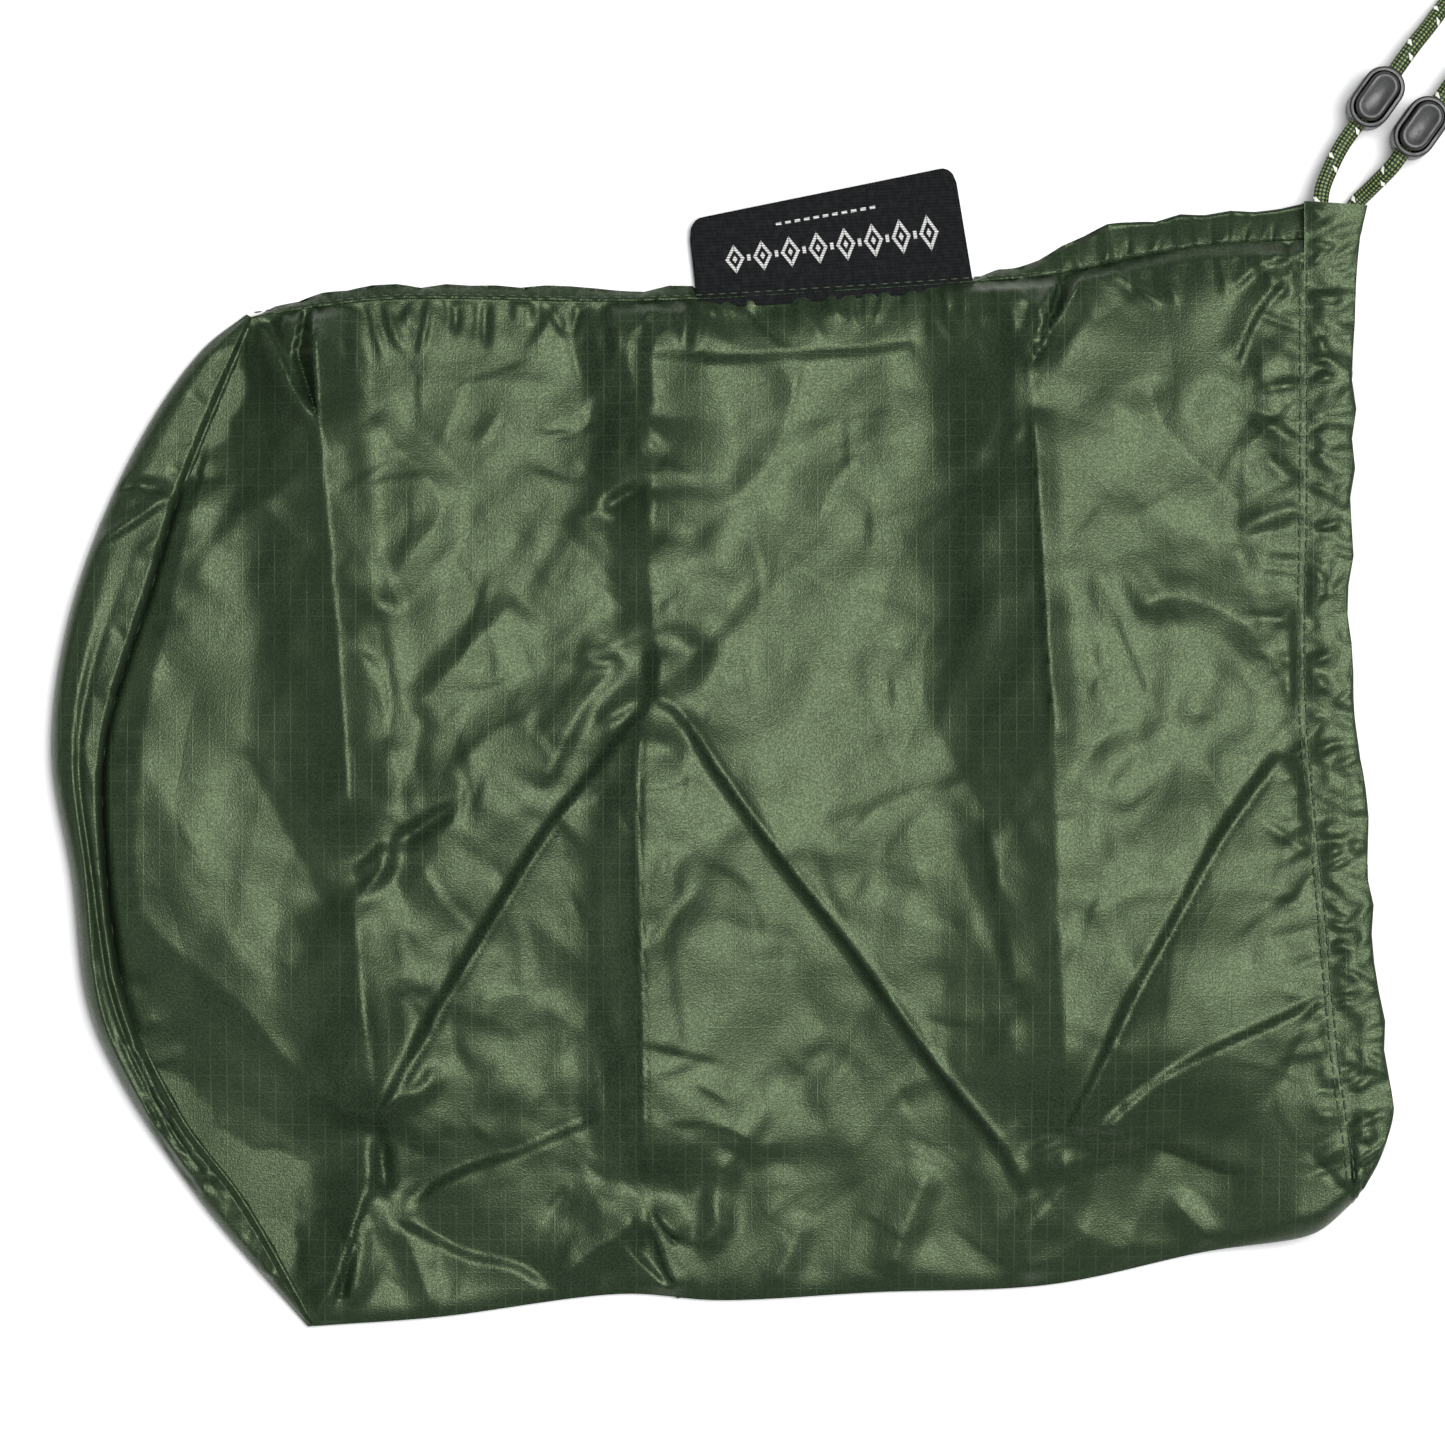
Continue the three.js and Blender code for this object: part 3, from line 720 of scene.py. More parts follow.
# Each fold is a crease line, its height, and how wide it falls off on the left and on the
# right of the way it runs. A negative height is a valley. FADE is the least length over which
# a fold dies out at its ends.
FOLDS = [
    # three long folds across the bag
    ([(-76.5, 92), (-75.8, 72), (-75, 60.5), (-72.5, 35.5), (-70, 1.5), (-68.5, -21.5)], 3.9, 8.5, 15),
    ([(-68.5, -23.5), (-67.5, -41.5), (-65.5, -58), (-64, -72.5)], 3.4, 8, 14),
    ([(-7, 92), (-14, 81.5), (-16.5, 78.5), (-17.5, 76), (-16.5, 69), (-15, 58.5), (-13.5, 48)], 2.4, 20, 8),
    ([(-13.5, 52), (-13, 33), (-12, 18)], 1.9, 16, 7),
    ([(-14.5, 8), (-15.5, -8), (-15, -16), (-14.5, -36), (-14, -51), (-13.5, -84.5)], 2.9, 26, 9.5),
    ([(50, 101), (52.5, 92), (55.5, 81), (58.3, 71.2), (59.5, 49), (61, 24), (62, 7.5), (63, -11),
      (64, -37.5), (65, -63), (65, -76)], 5.2, 42, 19),
    ([(59, 64), (59.7, 49), (61.2, 24), (62.7, 0)], 0.9, 4.5, 1.0),
    ([(-16, 5), (-32, -16), (-45, -37), (-58, -60), (-64.5, -71)], 0.5, 1.3, 0.7),
    ([(-7, 6.5), (8, -15), (25, -37), (41.5, -60), (54, -75.5)], 0.4, 1.3, 0.7),
    ([(-14.5, 4), (-15, -16), (-14.5, -36), (-13.7, -80)], 0.45, 0.8, 1.4),
    ([(104, -4), (94, -17.5), (85, -34), (72, -59.5), (66, -72)], 0.4, 1.3, 0.7),
    # the small S where the base-side fold breaks
    ([(-68.5, -22.5), (-66.5, -22.5), (-64.5, -21), (-62.5, -17.5)], 1.6, 1.5, 2.5),
    ([(-68, -28), (-65.5, -25.5), (-62.5, -21.5), (-61.5, -17.5)], 1.8, 1.6, 2.5),
    ([(-62, -18.5), (-56, -15), (-49, -10.5)], -1.3, 2, 2.5),
    # between the base-side fold and the middle one
    ([(-57.5, -3), (-50.5, -4.5), (-48.5, -7), (-49.5, -11.5), (-54.5, -22), (-59.5, -30), (-61, -37),
      (-59.5, -47)], 0.9, 12, 5),
    ([(-65.5, 63), (-60.5, 56), (-56, 52.5), (-52, 44.5), (-56.5, 38), (-64.5, 27)], 0.9, 5, 14),
    ([(-64.5, 27), (-61.5, 7.5), (-63, -1)], 0.9, 5, 4),
    ([(-37.5, 28.5), (-47, 18.5), (-58, 6.5)], 1.0, 10, 4),
    ([(-11, 11), (-13, 8), (-20.5, -2.5), (-32.5, -17), (-45, -37), (-51.5, -47), (-58.5, -60),
      (-65, -72)], 1.4, 18, 1.8),
    ([(-17.5, 16.5), (-24, 10), (-30.5, -1.5), (-33.5, -8)], 1.0, 2.5, 9),
    # pinched knot of folds in the middle
    ([(-27, 17), (-22.5, 16), (-17.5, 17)], 0.9, 8, 1.8),
    ([(-23, 4.5), (-18.5, 7), (-12, 10)], 1.1, 8, 1.8),
    ([(-22, 44.5), (-17.5, 47.5), (-13.5, 49)], -1.9, 2, 5),
    ([(-12, 21), (-11, 16), (-11.5, 11), (-9, 6)], 1.5, 6, 3),
    ([(-4.5, 84.5), (-9, 80), (-12, 77), (-12.5, 74), (-12, 62)], 1.0, 10, 3),
    ([(-14, 66), (-12.5, 56), (-12, 44), (-13, 34)], 2.6, 12.5, 16),
    ([(-15, 75.5), (-3, 74.5), (11.5, 75), (27, 76), (38, 77.5)], 0.7, 9, 2.2),
    # the long diagonal towards the mouth, and its end
    ([(-11.5, 11), (-5.5, 5), (-0.5, -3), (8, -15), (15, -24.5), (25, -37), (41.5, -60), (55, -77),
      (58.5, -85)], 1.7, 34, 1.9),
    # short folds over the middle of the fold edge
    ([(-13.5, -85.5), (-18.5, -91.5), (-24, -95), (-31, -101.5)], 1.8, 5, 12),
    ([(-13.5, -86), (-9, -91.5), (-5, -93)], 1.3, 5, 1.2),
    ([(-5, -93.5), (-2.5, -93), (-0.5, -90.5), (-0.5, -85.5), (0.5, -80.5), (2.5, -76)], 1.0, 3, 4),
    ([(-18.5, -93.5), (-13, -99), (-7.5, -104.5)], 1.0, 1.4, 5),
    ([(-13.5, -87.5), (-10, -96.5), (-7.5, -104)], 1.2, 6, 1.6),
    ([(16, -87.5), (13.5, -95.5), (9, -102.5)], 0.7, 4, 4),
    ([(40, -79), (35, -91.5), (32, -100)], 1.0, 4, 6),
    # beside the mouth-side fold
    ([(50, -12.5), (53, -28.5), (56, -47)], 0.6, 5, 2),
    ([(64, 91.5), (62, 80), (58.5, 71)], 1.6, 1.2, 5),
    ([(71, 92.5), (64, 81.5), (58.5, 71)], 1.6, 5, 1.2),
    # the mouth panel
    ([(106.5, -0.5), (99, -9.5), (94, -17.5), (85, -34), (77.5, -47), (72, -59.5),
      (65.5, -74)], 1.2, 16, 1.6),
    ([(112.5, -48), (103.5, -52.5), (95.5, -56), (85, -61.5), (75.5, -69), (72, -73)], 1.1, 13, 1.5),
    ([(65, -71.5), (75.5, -72), (80.5, -74)], 1.0, 8, 1.6),
    ([(57.5, -77), (63, -74.5), (70.5, -74), (80.5, -74)], 0.9, 1.6, 14),
    ([(80.5, -74), (87.5, -77), (97, -80.5), (101, -81)], -0.9, 1.6, 9),
    ([(64, -75.5), (65.5, -80.5), (61.5, -87), (58, -92), (59.5, -101.5)], 1.2, 6, 5),
    ([(85, -84), (89, -89), (94, -94)], 0.7, 4, 4),
    ([(80.5, 70), (83, 61.5), (93.5, 50), (101, 43)], -0.7, 5, 7),
    ([(97, 75.5), (102, 67.5), (108, 61)], -0.5, 4, 5),
    ([(102, 56.5), (108, 49)], -0.5, 4, 5),
    ([(77.5, 25.5), (84, 28.5), (94, 26), (100.5, 21.5), (106, 12.5), (108.5, 8)], 1.2, 12, 5),
    ([(108.5, 93), (102, 91), (96, 86)], 0.8, 1.2, 3),
    ([(108.5, 90), (104, 86), (100, 80), (97, 72)], 0.9, 1.2, 4),
    # the corner by the base
    ([(-64, -71.5), (-63.5, -78.5), (-63, -86)], -2.5, 2.5, 2.5),
    ([(-63.5, -69), (-59.5, -65.5), (-55.5, -64), (-53, -59.5)], 1.0, 2, 3),
    ([(-61, -87.5), (-54.5, -82.5), (-47.5, -78.5), (-37.5, -75.5), (-31, -72.5),
      (-22.5, -69)], -1.0, 9, 1.8),
    ([(-61, -88), (-54.5, -91.5), (-47.5, -95), (-37.5, -97.5), (-31.5, -101.5)], -1.0, 9, 1.8),
    ([(-65.5, -81), (-68.5, -89.5), (-72, -100), (-75.5, -107.5)], 1.5, 1.5, 8),
    ([(-68.5, -89.5), (-69, -97.5), (-69.5, -105.5)], 1.2, 4, 1.5),
    ([(-60.5, -88.5), (-57.5, -96.5), (-54, -106)], 0.9, 4, 4),
    # both sides of the pocket over the base-side fold
    ([(-87.5, 81.5), (-82.5, 73), (-79.5, 66.7), (-75, 60.5)], 2.0, 1.1, 10),
    ([(-76.5, 83.5), (-76, 71.5), (-75, 60.5)], 2.0, 8, 1.1),
]
# The cloth drops away beyond these lines, on one side: 1 for the left, -1 for the right.
FALLS = [
    ([(-99.5, 45), (-104.5, 22), (-107.5, 9), (-109.5, -8), (-110, -25), (-108, -32), (-100, -40),
      (-89.5, -49), (-79, -61.5), (-71, -68), (-64, -71.5), (-65.5, -81), (-72, -100),
      (-76, -108)], -1, 0.30, 8),
    ([(-107.5, 35.5), (-99.5, 45), (-89.5, 44.5), (-79, 52.5), (-75, 60.5), (-76.5, 84.5)], 1, 0.26, 7),
]
# Deep folds that open into the bag: the left rim and the right rim from the same tip, and a depth.
POCKETS = [
    ([(-75.3, 61.1), (-78.3, 67.5), (-80.5, 74), (-79, 83)], [(-75.3, 61.1), (-75.8, 72),
      (-76.1, 83.5)], 6.0),
    ([(58, 71.3), (62, 82), (65.5, 94)], [(58, 71.3), (65, 83), (71, 94)], 6.5),
    ([(-13.5, -86), (-12, -90), (-9, -93.5)], [(-13.5, -86), (-9, -91), (-5.5, -93)], 2.5),
    ([(-65.5, -81.5), (-69.5, -93), (-72.5, -103.5)], [(-65.5, -81.5), (-67.5, -93), (-69.5, -104)], 3.0),
]


def nearest_on(xy, line):
    """Distance from each point to a line, which side it is on, how far along, and the foot."""
    best = np.full(len(xy), np.inf)
    side = np.zeros(len(xy))
    along = np.zeros(len(xy))
    foot = np.zeros_like(xy)
    run = 0.0
    for a, b in zip(line[:-1], line[1:]):
        d = b - a
        length = np.linalg.norm(d)
        t = np.clip(((xy - a) @ d) / length ** 2, 0, 1)
        f = a + t[:, None] * d
        away = xy - f
        distance = np.hypot(away[:, 0], away[:, 1])
        closer = distance < best
        cross = d[0] * (xy[:, 1] - a[1]) - d[1] * (xy[:, 0] - a[0])
        best = np.where(closer, distance, best)
        side = np.where(closer, np.sign(cross), side)
        along = np.where(closer, run + t * length, along)
        foot = np.where(closer[:, None], f, foot)
        run += length
    return best, side, along, foot, run


def tent(t):
    """1 on a crease, straight down to its foot, and soft at the foot."""
    return np.where(t < 0.75, 1 - t, np.clip(1.25 - t, 0, None) ** 2)


def add_folds(xy, z, folds, snap=0.0, gain=1.0):
    """Adds folds to heights. Points within snap of a crease move onto it in plan."""
    for points, height, left, right in folds:
        line = Line(points, 12).even(2.0)
        reach = 1.3 * max(left, right)
        in_box = (xy > line.min(0) - reach) & (xy < line.max(0) + reach)
        picked = np.where(np.all(in_box, axis=1))[0]
        if not len(picked):
            continue
        distance, side, along, foot, run = nearest_on(xy[picked], line)
        fade = min(max(FADE, 4 * abs(height)), run / 2.2)
        ends = smooth((along + 1) / fade) * smooth((run - along + 1) / fade)
        z[picked] += gain * (height * tent(distance / np.where(side > 0, left, right)) * ends)
        close = distance < snap
        xy[picked[close]] = foot[close]
    return z


def add_falls(xy, z, falls):
    for points, side, slope, limit in falls:
        distance, which, *_ = nearest_on(xy, Line(points, 12).even(2.0))
        drop = limit * (1 - np.exp(-slope * distance / limit))
        z -= np.where(which == side, drop, 0)
    return z


def inside_polygon(xy, corners):
    inside = np.zeros(len(xy), bool)
    for (ax, ay), (bx, by) in zip(corners, corners[1:] + corners[:1]):
        crosses = (ay > xy[:, 1]) != (by > xy[:, 1])
        at = (bx - ax) * (xy[:, 1] - ay) / (by - ay + 1e-12) + ax
        inside ^= crosses & (xy[:, 0] < at)
    return inside


def add_pockets(xy, z, pockets):
    """Each pocket drops at its left rim and climbs back to its right one."""
    for left, right, depth in pockets:
        inside = inside_polygon(xy, left + right[::-1])
        from_left, *_ = nearest_on(xy[inside], np.array(left))
        from_right, *_ = nearest_on(xy[inside], np.array(right))
        z[inside] -= depth * smooth(from_left / 0.8) * from_right / (from_left + from_right + 1e-6)
    return z


def random_folds(count, low, high, length, height, steep, gentle):
    """Short creases at random places in a rectangle, steep on one side and gentle on the other."""
    folds = []
    for _ in range(count):
        middle = rng.uniform(low, high)
        angle = rng.choice([0.9, -0.8, 1.5, 0.15], p=[0.3, 0.25, 0.3, 0.15]) + rng.normal(0, 0.3)
        half = rng.uniform(*length) / 2
        way = np.array([math.cos(angle), math.sin(angle)])
        bend = np.array([-way[1], way[0]]) * rng.normal(0, 0.1) * half
        points = [middle - way * half, middle + bend, middle + way * half]
        rise = rng.uniform(*height) * rng.choice([-1, 1], p=[0.35, 0.65])
        folds.append((points, rise, *rng.permutation([rng.uniform(*steep), rng.uniform(*gentle)])))
    return folds


def puckers(line, side, spacing, length, height, width, start=0.0, stop=1.0, lean=0.25):
    """Short folds that run from a seam into the cloth on one side of it."""
    folds = []
    run = line.length * start
    while run < line.length * stop:
        here, ahead = line.at(np.array([run, min(run + 1, line.length)]) / line.length)
        way = (ahead - here) / max(np.linalg.norm(ahead - here), 1e-6)
        out = side * np.array([-way[1], way[0]])
        aim = out + way * rng.normal(0, lean)
        reach = rng.uniform(*length)
        middle = here + aim * reach / 2 + way * rng.normal(0, 0.25)
        rise = rng.uniform(*height) * rng.choice([1, -1], p=[0.6, 0.4])
        points = [here - out * 0.3, middle, here + aim * reach]
        folds.append((points, rise, rng.uniform(*width), rng.uniform(*width)))
        run += rng.uniform(0.6, 1.4) * spacing
    return folds


def add_waves(xy, z, count, short, long, height):
    """Soft swells, as a sum of seeded waves in every direction."""
    swell = np.zeros(len(xy))
    for _ in range(count):
        angle = rng.uniform(0, math.pi)
        size = rng.uniform(short, long)
        way = np.array([math.cos(angle), math.sin(angle)])
        across = xy @ np.array([-way[1], way[0]])
        bend = 0.25 * np.sin(across * TURN / (1.7 * size) + rng.uniform(0, 6))
        swell += size / long * np.sin(xy @ way * TURN / size + rng.uniform(0, 6) + TURN * bend)
    return z + height * swell / math.sqrt(count)


# ---------------- the sack's body
COLUMNS = 320
FRONT_ROWS = 268
BACK_ROWS = 36
# The cloth comes up out of the base's slit over the length of its lip.
LIP = 1.3
SLIT_HEIGHT = 2.0
LEAST_GAP = 0.8
SEAM_RISE_WIDTH = 9
FOLD_RISE_WIDTH = 10
# Corners of the rectangle that the small folds are strewn over.
CLOTH_CORNERS = (-105, -100), (112, 88)


def share_rows(count):
    """Shares across the bag, closer together at its two edges."""
    s = np.linspace(-1, 1, count - 4)
    inner = 0.5 + 0.5 * (0.75 * s + 0.25 * np.sin(math.pi * s / 2))
    inner[0], inner[-1] = 0, 1
    extra = np.array([0.0004, 0.0015])
    return np.sort(np.concatenate([inner, extra, 1 - extra]))


def front_heights(u, v, xy):
    """Height of the upper cloth for arrays of shares and plan points."""
    edge = edge_height(u, v)
    loft = lerp(BASE_LOFT, MOUTH_LOFT, u)
    roundness = lerp(1.2, 3.0, smooth((u - 0.6) / 0.4))
    turned = 1 - np.clip(1 - v * BODY_WIDTH / EDGE_TURN, 0, 1) ** 2
    turned = np.minimum(turned, smooth((1 - v) * BODY_WIDTH / SEAM_RISE_WIDTH))
    dome = edge + EDGE_RISE * turned
    dome += np.clip(loft - edge - EDGE_RISE, 0, None) * (1 - np.abs(2 * v - 1) ** roundness)
    hem = channel_level(v, True) + HEM_RAISE * smooth(v * BODY_WIDTH / FOLD_RISE_WIDTH)
    z = lerp(dome, hem, smooth((u - 0.84) / 0.16))
    plain = np.zeros(len(xy))
    bold = add_folds(xy, plain.copy(), FOLDS, snap=SNAP, gain=STEEPNESS)
    bold = add_falls(xy, bold, FALLS)
    bold = add_pockets(xy, bold, POCKETS)
    small = random_folds(260, *CLOTH_CORNERS, (14, 50), (0.15, 0.55), (2.2, 5), (8, 18))
    small += random_folds(120, (-72, -98), (0, 84), (5, 20), (0.12, 0.45), (0.6, 1.5), (3, 7))
    small += random_folds(110, (0, -98), (108, 84), (5, 22), (0.08, 0.32), (0.6, 1.4), (3, 8))
    fine = add_waves(xy, add_folds(xy, plain.copy(), small), 30, 9, 34, 0.42)
    gathers = puckers(SEAM_LINE, -1, 2.4, (3, 12), (0.25, 0.9), (0.8, 2.2), lean=0.4)
    gathers += puckers(CHANNEL_STITCH, 1, 2.6, (2, 12), (0.15, 0.6), (0.8, 2.4), lean=0.6)
    gathers += puckers(BASE_SEAM, -1, 9.0, (3, 9), (0.2, 0.5), (1.5, 3))
    gathered = add_folds(xy, plain.copy(), gathers)
    from_edge = np.minimum(v, 1 - v) * BODY_WIDTH
    from_stitch = (1 - u) * BODY_LENGTH
    from_base = u * BODY_LENGTH
    z = z + bold * smooth(from_edge / 3 + 0.15) * smooth(from_stitch / 3)
    z = z + fine * smooth(from_edge / 5) * smooth(from_stitch / 5 + 0.1)
    z = z + gathered * smooth(from_edge / 1.2)
    lip = lerp(np.minimum(SLIT_HEIGHT, z), z, smooth(from_base / LIP) ** 0.5)
    return np.maximum(np.where(from_base < LIP, lip, z), GROUND + LEAST_GAP)


def back_heights(u, v, xy):
    """Height of the lower cloth: flat on the ground with a few slack wrinkles."""
    side = np.abs(2 * v - 1)
    turn = np.clip((side - 0.88) / 0.12, 0, 1)
    z = GROUND + (edge_height(u, v) - GROUND) * (1 - np.sqrt(1 - turn ** 2))
    slack = add_waves(xy, np.zeros(len(xy)), 14, 14, 40, 0.22)
    slack = add_folds(xy, slack, random_folds(60, *CLOTH_CORNERS, (12, 40), (0.3, 0.9), (2, 4), (6, 12)))
    z = z + np.abs(slack) * smooth((1 - side) / 0.1)
    return lerp(z, channel_level(v, False), smooth((u - 0.94) / 0.06))


def add_body():
    u = np.linspace(0, 1, COLUMNS)
    front = share_rows(FRONT_ROWS)
    back = share_rows(BACK_ROWS)[1:-1][::-1]
    sheets = []
    for rows, heights in ((front, front_heights), (back, back_heights)):
        v, along = (grid.ravel() for grid in np.meshgrid(rows, u, indexing="ij"))
        xy = panel_plan(along, v)
        z = heights(along, v, xy)
        sheets.append(np.column_stack([xy, z]))
    faces = grid_faces(len(front) + len(back), COLUMNS, close_rows=True)
    return declare(add_mesh("sack_body", np.vstack(sheets), faces[:, ::-1], NYLON), "body_panel")


# ---------------- drawcord channel
CHANNEL_HALF = 1.85
CHANNEL_AROUND = 41
SEAM_END = 7.2
MOUTH_WOBBLE = 0.35


def channel_rings():
    """Stitch-side points and mouth-side points of the channel's loop, from the upper run's
    open end round the fold to the lower run's."""
    shares = np.linspace(1, 0, 300)
    stitch, mouth = [], []
    for upper, row in ((True, shares), (False, shares[::-1][1:])):
        level = channel_level(np.minimum(row, 0.984), upper)
        stitch.append(np.column_stack([CHANNEL_STITCH.at(row), level]))
        mouth.append(np.column_stack([MOUTH_EDGE.at(row * 0.965), level]))
    stitch, mouth = np.vstack(stitch), np.vstack(mouth)
    ahead = np.linspace(SEAM_END, 0, 10, endpoint=False)[:, None] * np.array([[0, 1.0, 0]])
    tops = [np.column_stack([MOUTH_EDGE.at(np.linspace(1, 0.966, 10)), np.full(10, m[2])])
            for m in (mouth[0], mouth[-1])]
    stitch = np.vstack([stitch[:1] + ahead, stitch, stitch[-1:] + ahead[::-1]])
    mouth = np.vstack([tops[0], mouth, tops[1][::-1]])
    return stitch, mouth


def channel_relief(run, share, outer):
    """The gathers of the channel, for its run in millimetres and its shares across."""
    s, a = np.meshgrid(run, share, indexing="ij")
    plan = np.column_stack([s.ravel(), (a * 10).ravel()])
    seam, rim = (Line([(0, y), (run[-1] / 2, y), (run[-1], y)]) for y in (0, 10))
    ridges = puckers(seam, 1, 1.9, (2, 8), (0.4, 0.9), (0.7, 1.6), lean=0.5)
    ridges += puckers(rim, -1, 3.2, (2, 6), (0.25, 0.6), (0.9, 2.0), lean=0.6)
    ridges += random_folds(150, (0, 1), (run[-1], 9), (4, 11), (0.15, 0.5), (0.8, 1.5), (2, 4.5))
    relief = add_folds(plan, np.zeros(len(plan)), ridges).reshape(s.shape)
    return np.clip(relief, -0.3, 1.0) * np.where(outer, 1.0, 0.5)


def add_channel():
    stitch, mouth = channel_rings()
    middle = (stitch + mouth) / 2
    width = mouth - stitch
    normal = np.cross(np.gradient(middle, axis=0), width)
    normal /= np.linalg.norm(normal, axis=1)[:, None]
    steps = np.linalg.norm(np.diff(middle, axis=0), axis=1)
    run = np.concatenate([[0], np.cumsum(steps)])
    turn = np.linspace(0, 1, CHANNEL_AROUND)
    outer = turn < 0.5
    share = 0.5 - 0.5 * np.cos(math.pi * np.where(outer, 2 * turn, 2 - 2 * turn))
    near_end = smooth(1 - np.minimum(run, run[-1] - run) / 16)[:, None]
    rise = smooth(share / lerp(0.46, 0.22, near_end))
    rise = rise * np.sqrt(np.clip(1 - np.clip((share - 0.78) / 0.22, 0, 1) ** 2, 0, 1))
    relief = channel_relief(run, share, outer) * smooth(rise + 0.25)
    upper = smooth((run[-1] / 2 - run[:, None] - 4) / 10)
    room = smooth(np.linalg.norm(width, axis=1)[:, None] / 8)
    over = lerp(CHANNEL_HALF * rise, HEM_RAISE + (CHANNEL_HALF - HEM_RAISE) * rise, upper)
    lift = np.where(outer, over, -CHANNEL_HALF * rise) * room + np.where(outer, relief, -relief)
    rings = stitch[:, None] + width[:, None] * share[:, None] + normal[:, None] * lift[..., None]
    wobble = MOUTH_WOBBLE * np.interp(run, run[::9], rng.normal(0, 1, len(run[::9])))
    rings[..., 0] += wobble[:, None] * share ** 2 * room
    rings[..., 2] = np.maximum(rings[..., 2], GROUND)
    faces = grid_faces(len(run), CHANNEL_AROUND)[:, ::-1]
    return declare(add_mesh("hem_channel", rings, faces, NYLON), "drawcord_channel")


# ---------------- round base, folded
BASE_ROWS = 250
OVER_COLUMNS = 26
UNDER_COLUMNS = 11
BASE_CROWN = 6.4
BASE_FOOT = GROUND + 1.4
BASE_FOLDS = [
    ([(-116, 48), (-110, 49.5), (-102, 48)], -1.6, 2.0, 1.6),
    ([(-118, 38), (-110, 43), (-103, 48)], 1.4, 2.0, 1.2),
    ([(-112, -54), (-109, -62), (-103, -69)], 1.2, 1.4, 2.4),
    ([(-107, -66), (-104, -76), (-99, -84)], -1.2, 1.5, 1.5),
]


def add_base():
    rows = share_rows(BASE_ROWS)[1:-1]
    t = np.linspace(0, 1, OVER_COLUMNS)[None] ** 0.85
    t_under = np.linspace(1, 0, UNDER_COLUMNS)[1:]
    start, end = BASE_SEAM.at(rows), BASE_OUTLINE.at(rows)
    reach = end - start
    length = np.maximum(np.linalg.norm(reach, axis=1), 0.4)[:, None]
    crown = EDGE_HEIGHT + BASE_CROWN * dome_share(2 * rows - 1)[:, None]
    v = rows[:, None]
    slack = smooth((0.8 - v) / 0.3) * smooth((v - 0.12) / 0.15)
    ridge = 0.7 * slack * np.exp(-((t - 0.62 - 0.10 * np.sin(9 * v)) / 0.10) ** 2)
    ridge = ridge - 1.1 * slack * np.exp(-((t - 0.38 - 0.08 * np.sin(11 * v + 1)) / 0.08) ** 2)
    rim = np.clip((1 - t) * length / 2.2, 0, 1)
    swell = np.sqrt(1 - (1 - rim) ** 2) * smooth(t * length / 0.7)
    crown = crown - 0.7 * t - 0.8 * smooth((t - 0.6) / 0.4)
    z = BASE_FOOT + (crown - BASE_FOOT + ridge) * swell
    top = raised(start[:, None] + reach[:, None] * t[..., None], z)
    xy = top[..., :2].reshape(-1, 2)
    folds = puckers(BASE_SEAM, 1, 3.0, (2, 8), (0.2, 0.7), (0.8, 1.8), 0.05, 0.30, 0.8)
    folds += puckers(BASE_SEAM, 1, 7.0, (2, 7), (0.2, 0.5), (1.0, 2.2), 0.3, 0.98, 1.5)
    folds += BASE_FOLDS
    folds += random_folds(60, (-126, -100), (-95, 78), (6, 18), (0.2, 0.6), (0.9, 1.8), (2.5, 5))
    rise = add_folds(xy, np.zeros(len(xy)), folds).reshape(z.shape)
    top[..., 2] += rise * smooth(t / 0.12) * smooth((1 - t) / 0.2)
    under_z = EDGE_HEIGHT - (EDGE_HEIGHT - GROUND) * np.sqrt(np.clip(1 - t_under ** 6, 0, 1))
    under = start[:, None] + reach[:, None] * t_under[None, :, None]
    under = raised(under, np.broadcast_to(under_z, under.shape[:2]))
    points = np.concatenate([top, under], axis=1)
    points[..., 2] = np.maximum(points[..., 2], GROUND)
    piece = add_mesh("folded_base", points, grid_faces(*points.shape[:2]), BASE_NYLON)
    return declare(piece, "base_panel")


# ---------------- seams and stitches
STITCH_SIDES = 6
STITCH_LIFT = 0.4
SEAM_GRID = (7, 520)
SEAM_DROOP = 2.2
SEAM_OVER, SEAM_UNDER = 0.62, 0.55
BASE_SEAM_CREST = 1.5
STITCH_PROFILE = [(-1.0, 0.25), (-0.75, 0.8), (0.0, 1.0), (0.75, 0.8), (1.0, 0.25)]


def stitch_row(name, path, stitch, gap, radius, node=None):
    """A row of stitches: one small round-ended thread each, lying along a path."""
    line = Line(path, 2)
    points, faces = [], []
    run = 0.4
    while run + stitch < line.length:
        a, b = line.at(np.array([run, run + stitch]) / line.length)
        way = (b - a) / np.linalg.norm(b - a)
        side = np.cross(way, [0, 0, 1.0])
        side /= np.linalg.norm(side)
        up = np.cross(side, way)
        first = len(points)
        for along, size in STITCH_PROFILE:
            centre = (a + b) / 2 + way * along * stitch / 2 - up * radius * 0.9 * along ** 2
            for k in range(STITCH_SIDES):
                angle = TURN * k / STITCH_SIDES
                points.append(centre + radius * size * (side * math.cos(angle) + up * math.sin(angle)))
        last = len(points) - STITCH_SIDES
        faces += (grid_faces(len(STITCH_PROFILE), STITCH_SIDES, close_columns=True) + first).tolist()
        faces.append([first + k for k in range(STITCH_SIDES)][::-1])
        faces.append([last + k for k in range(STITCH_SIDES)])
        run += stitch + gap
    declare(add_mesh(name, np.array(points), faces, THREAD, closed=True), node)


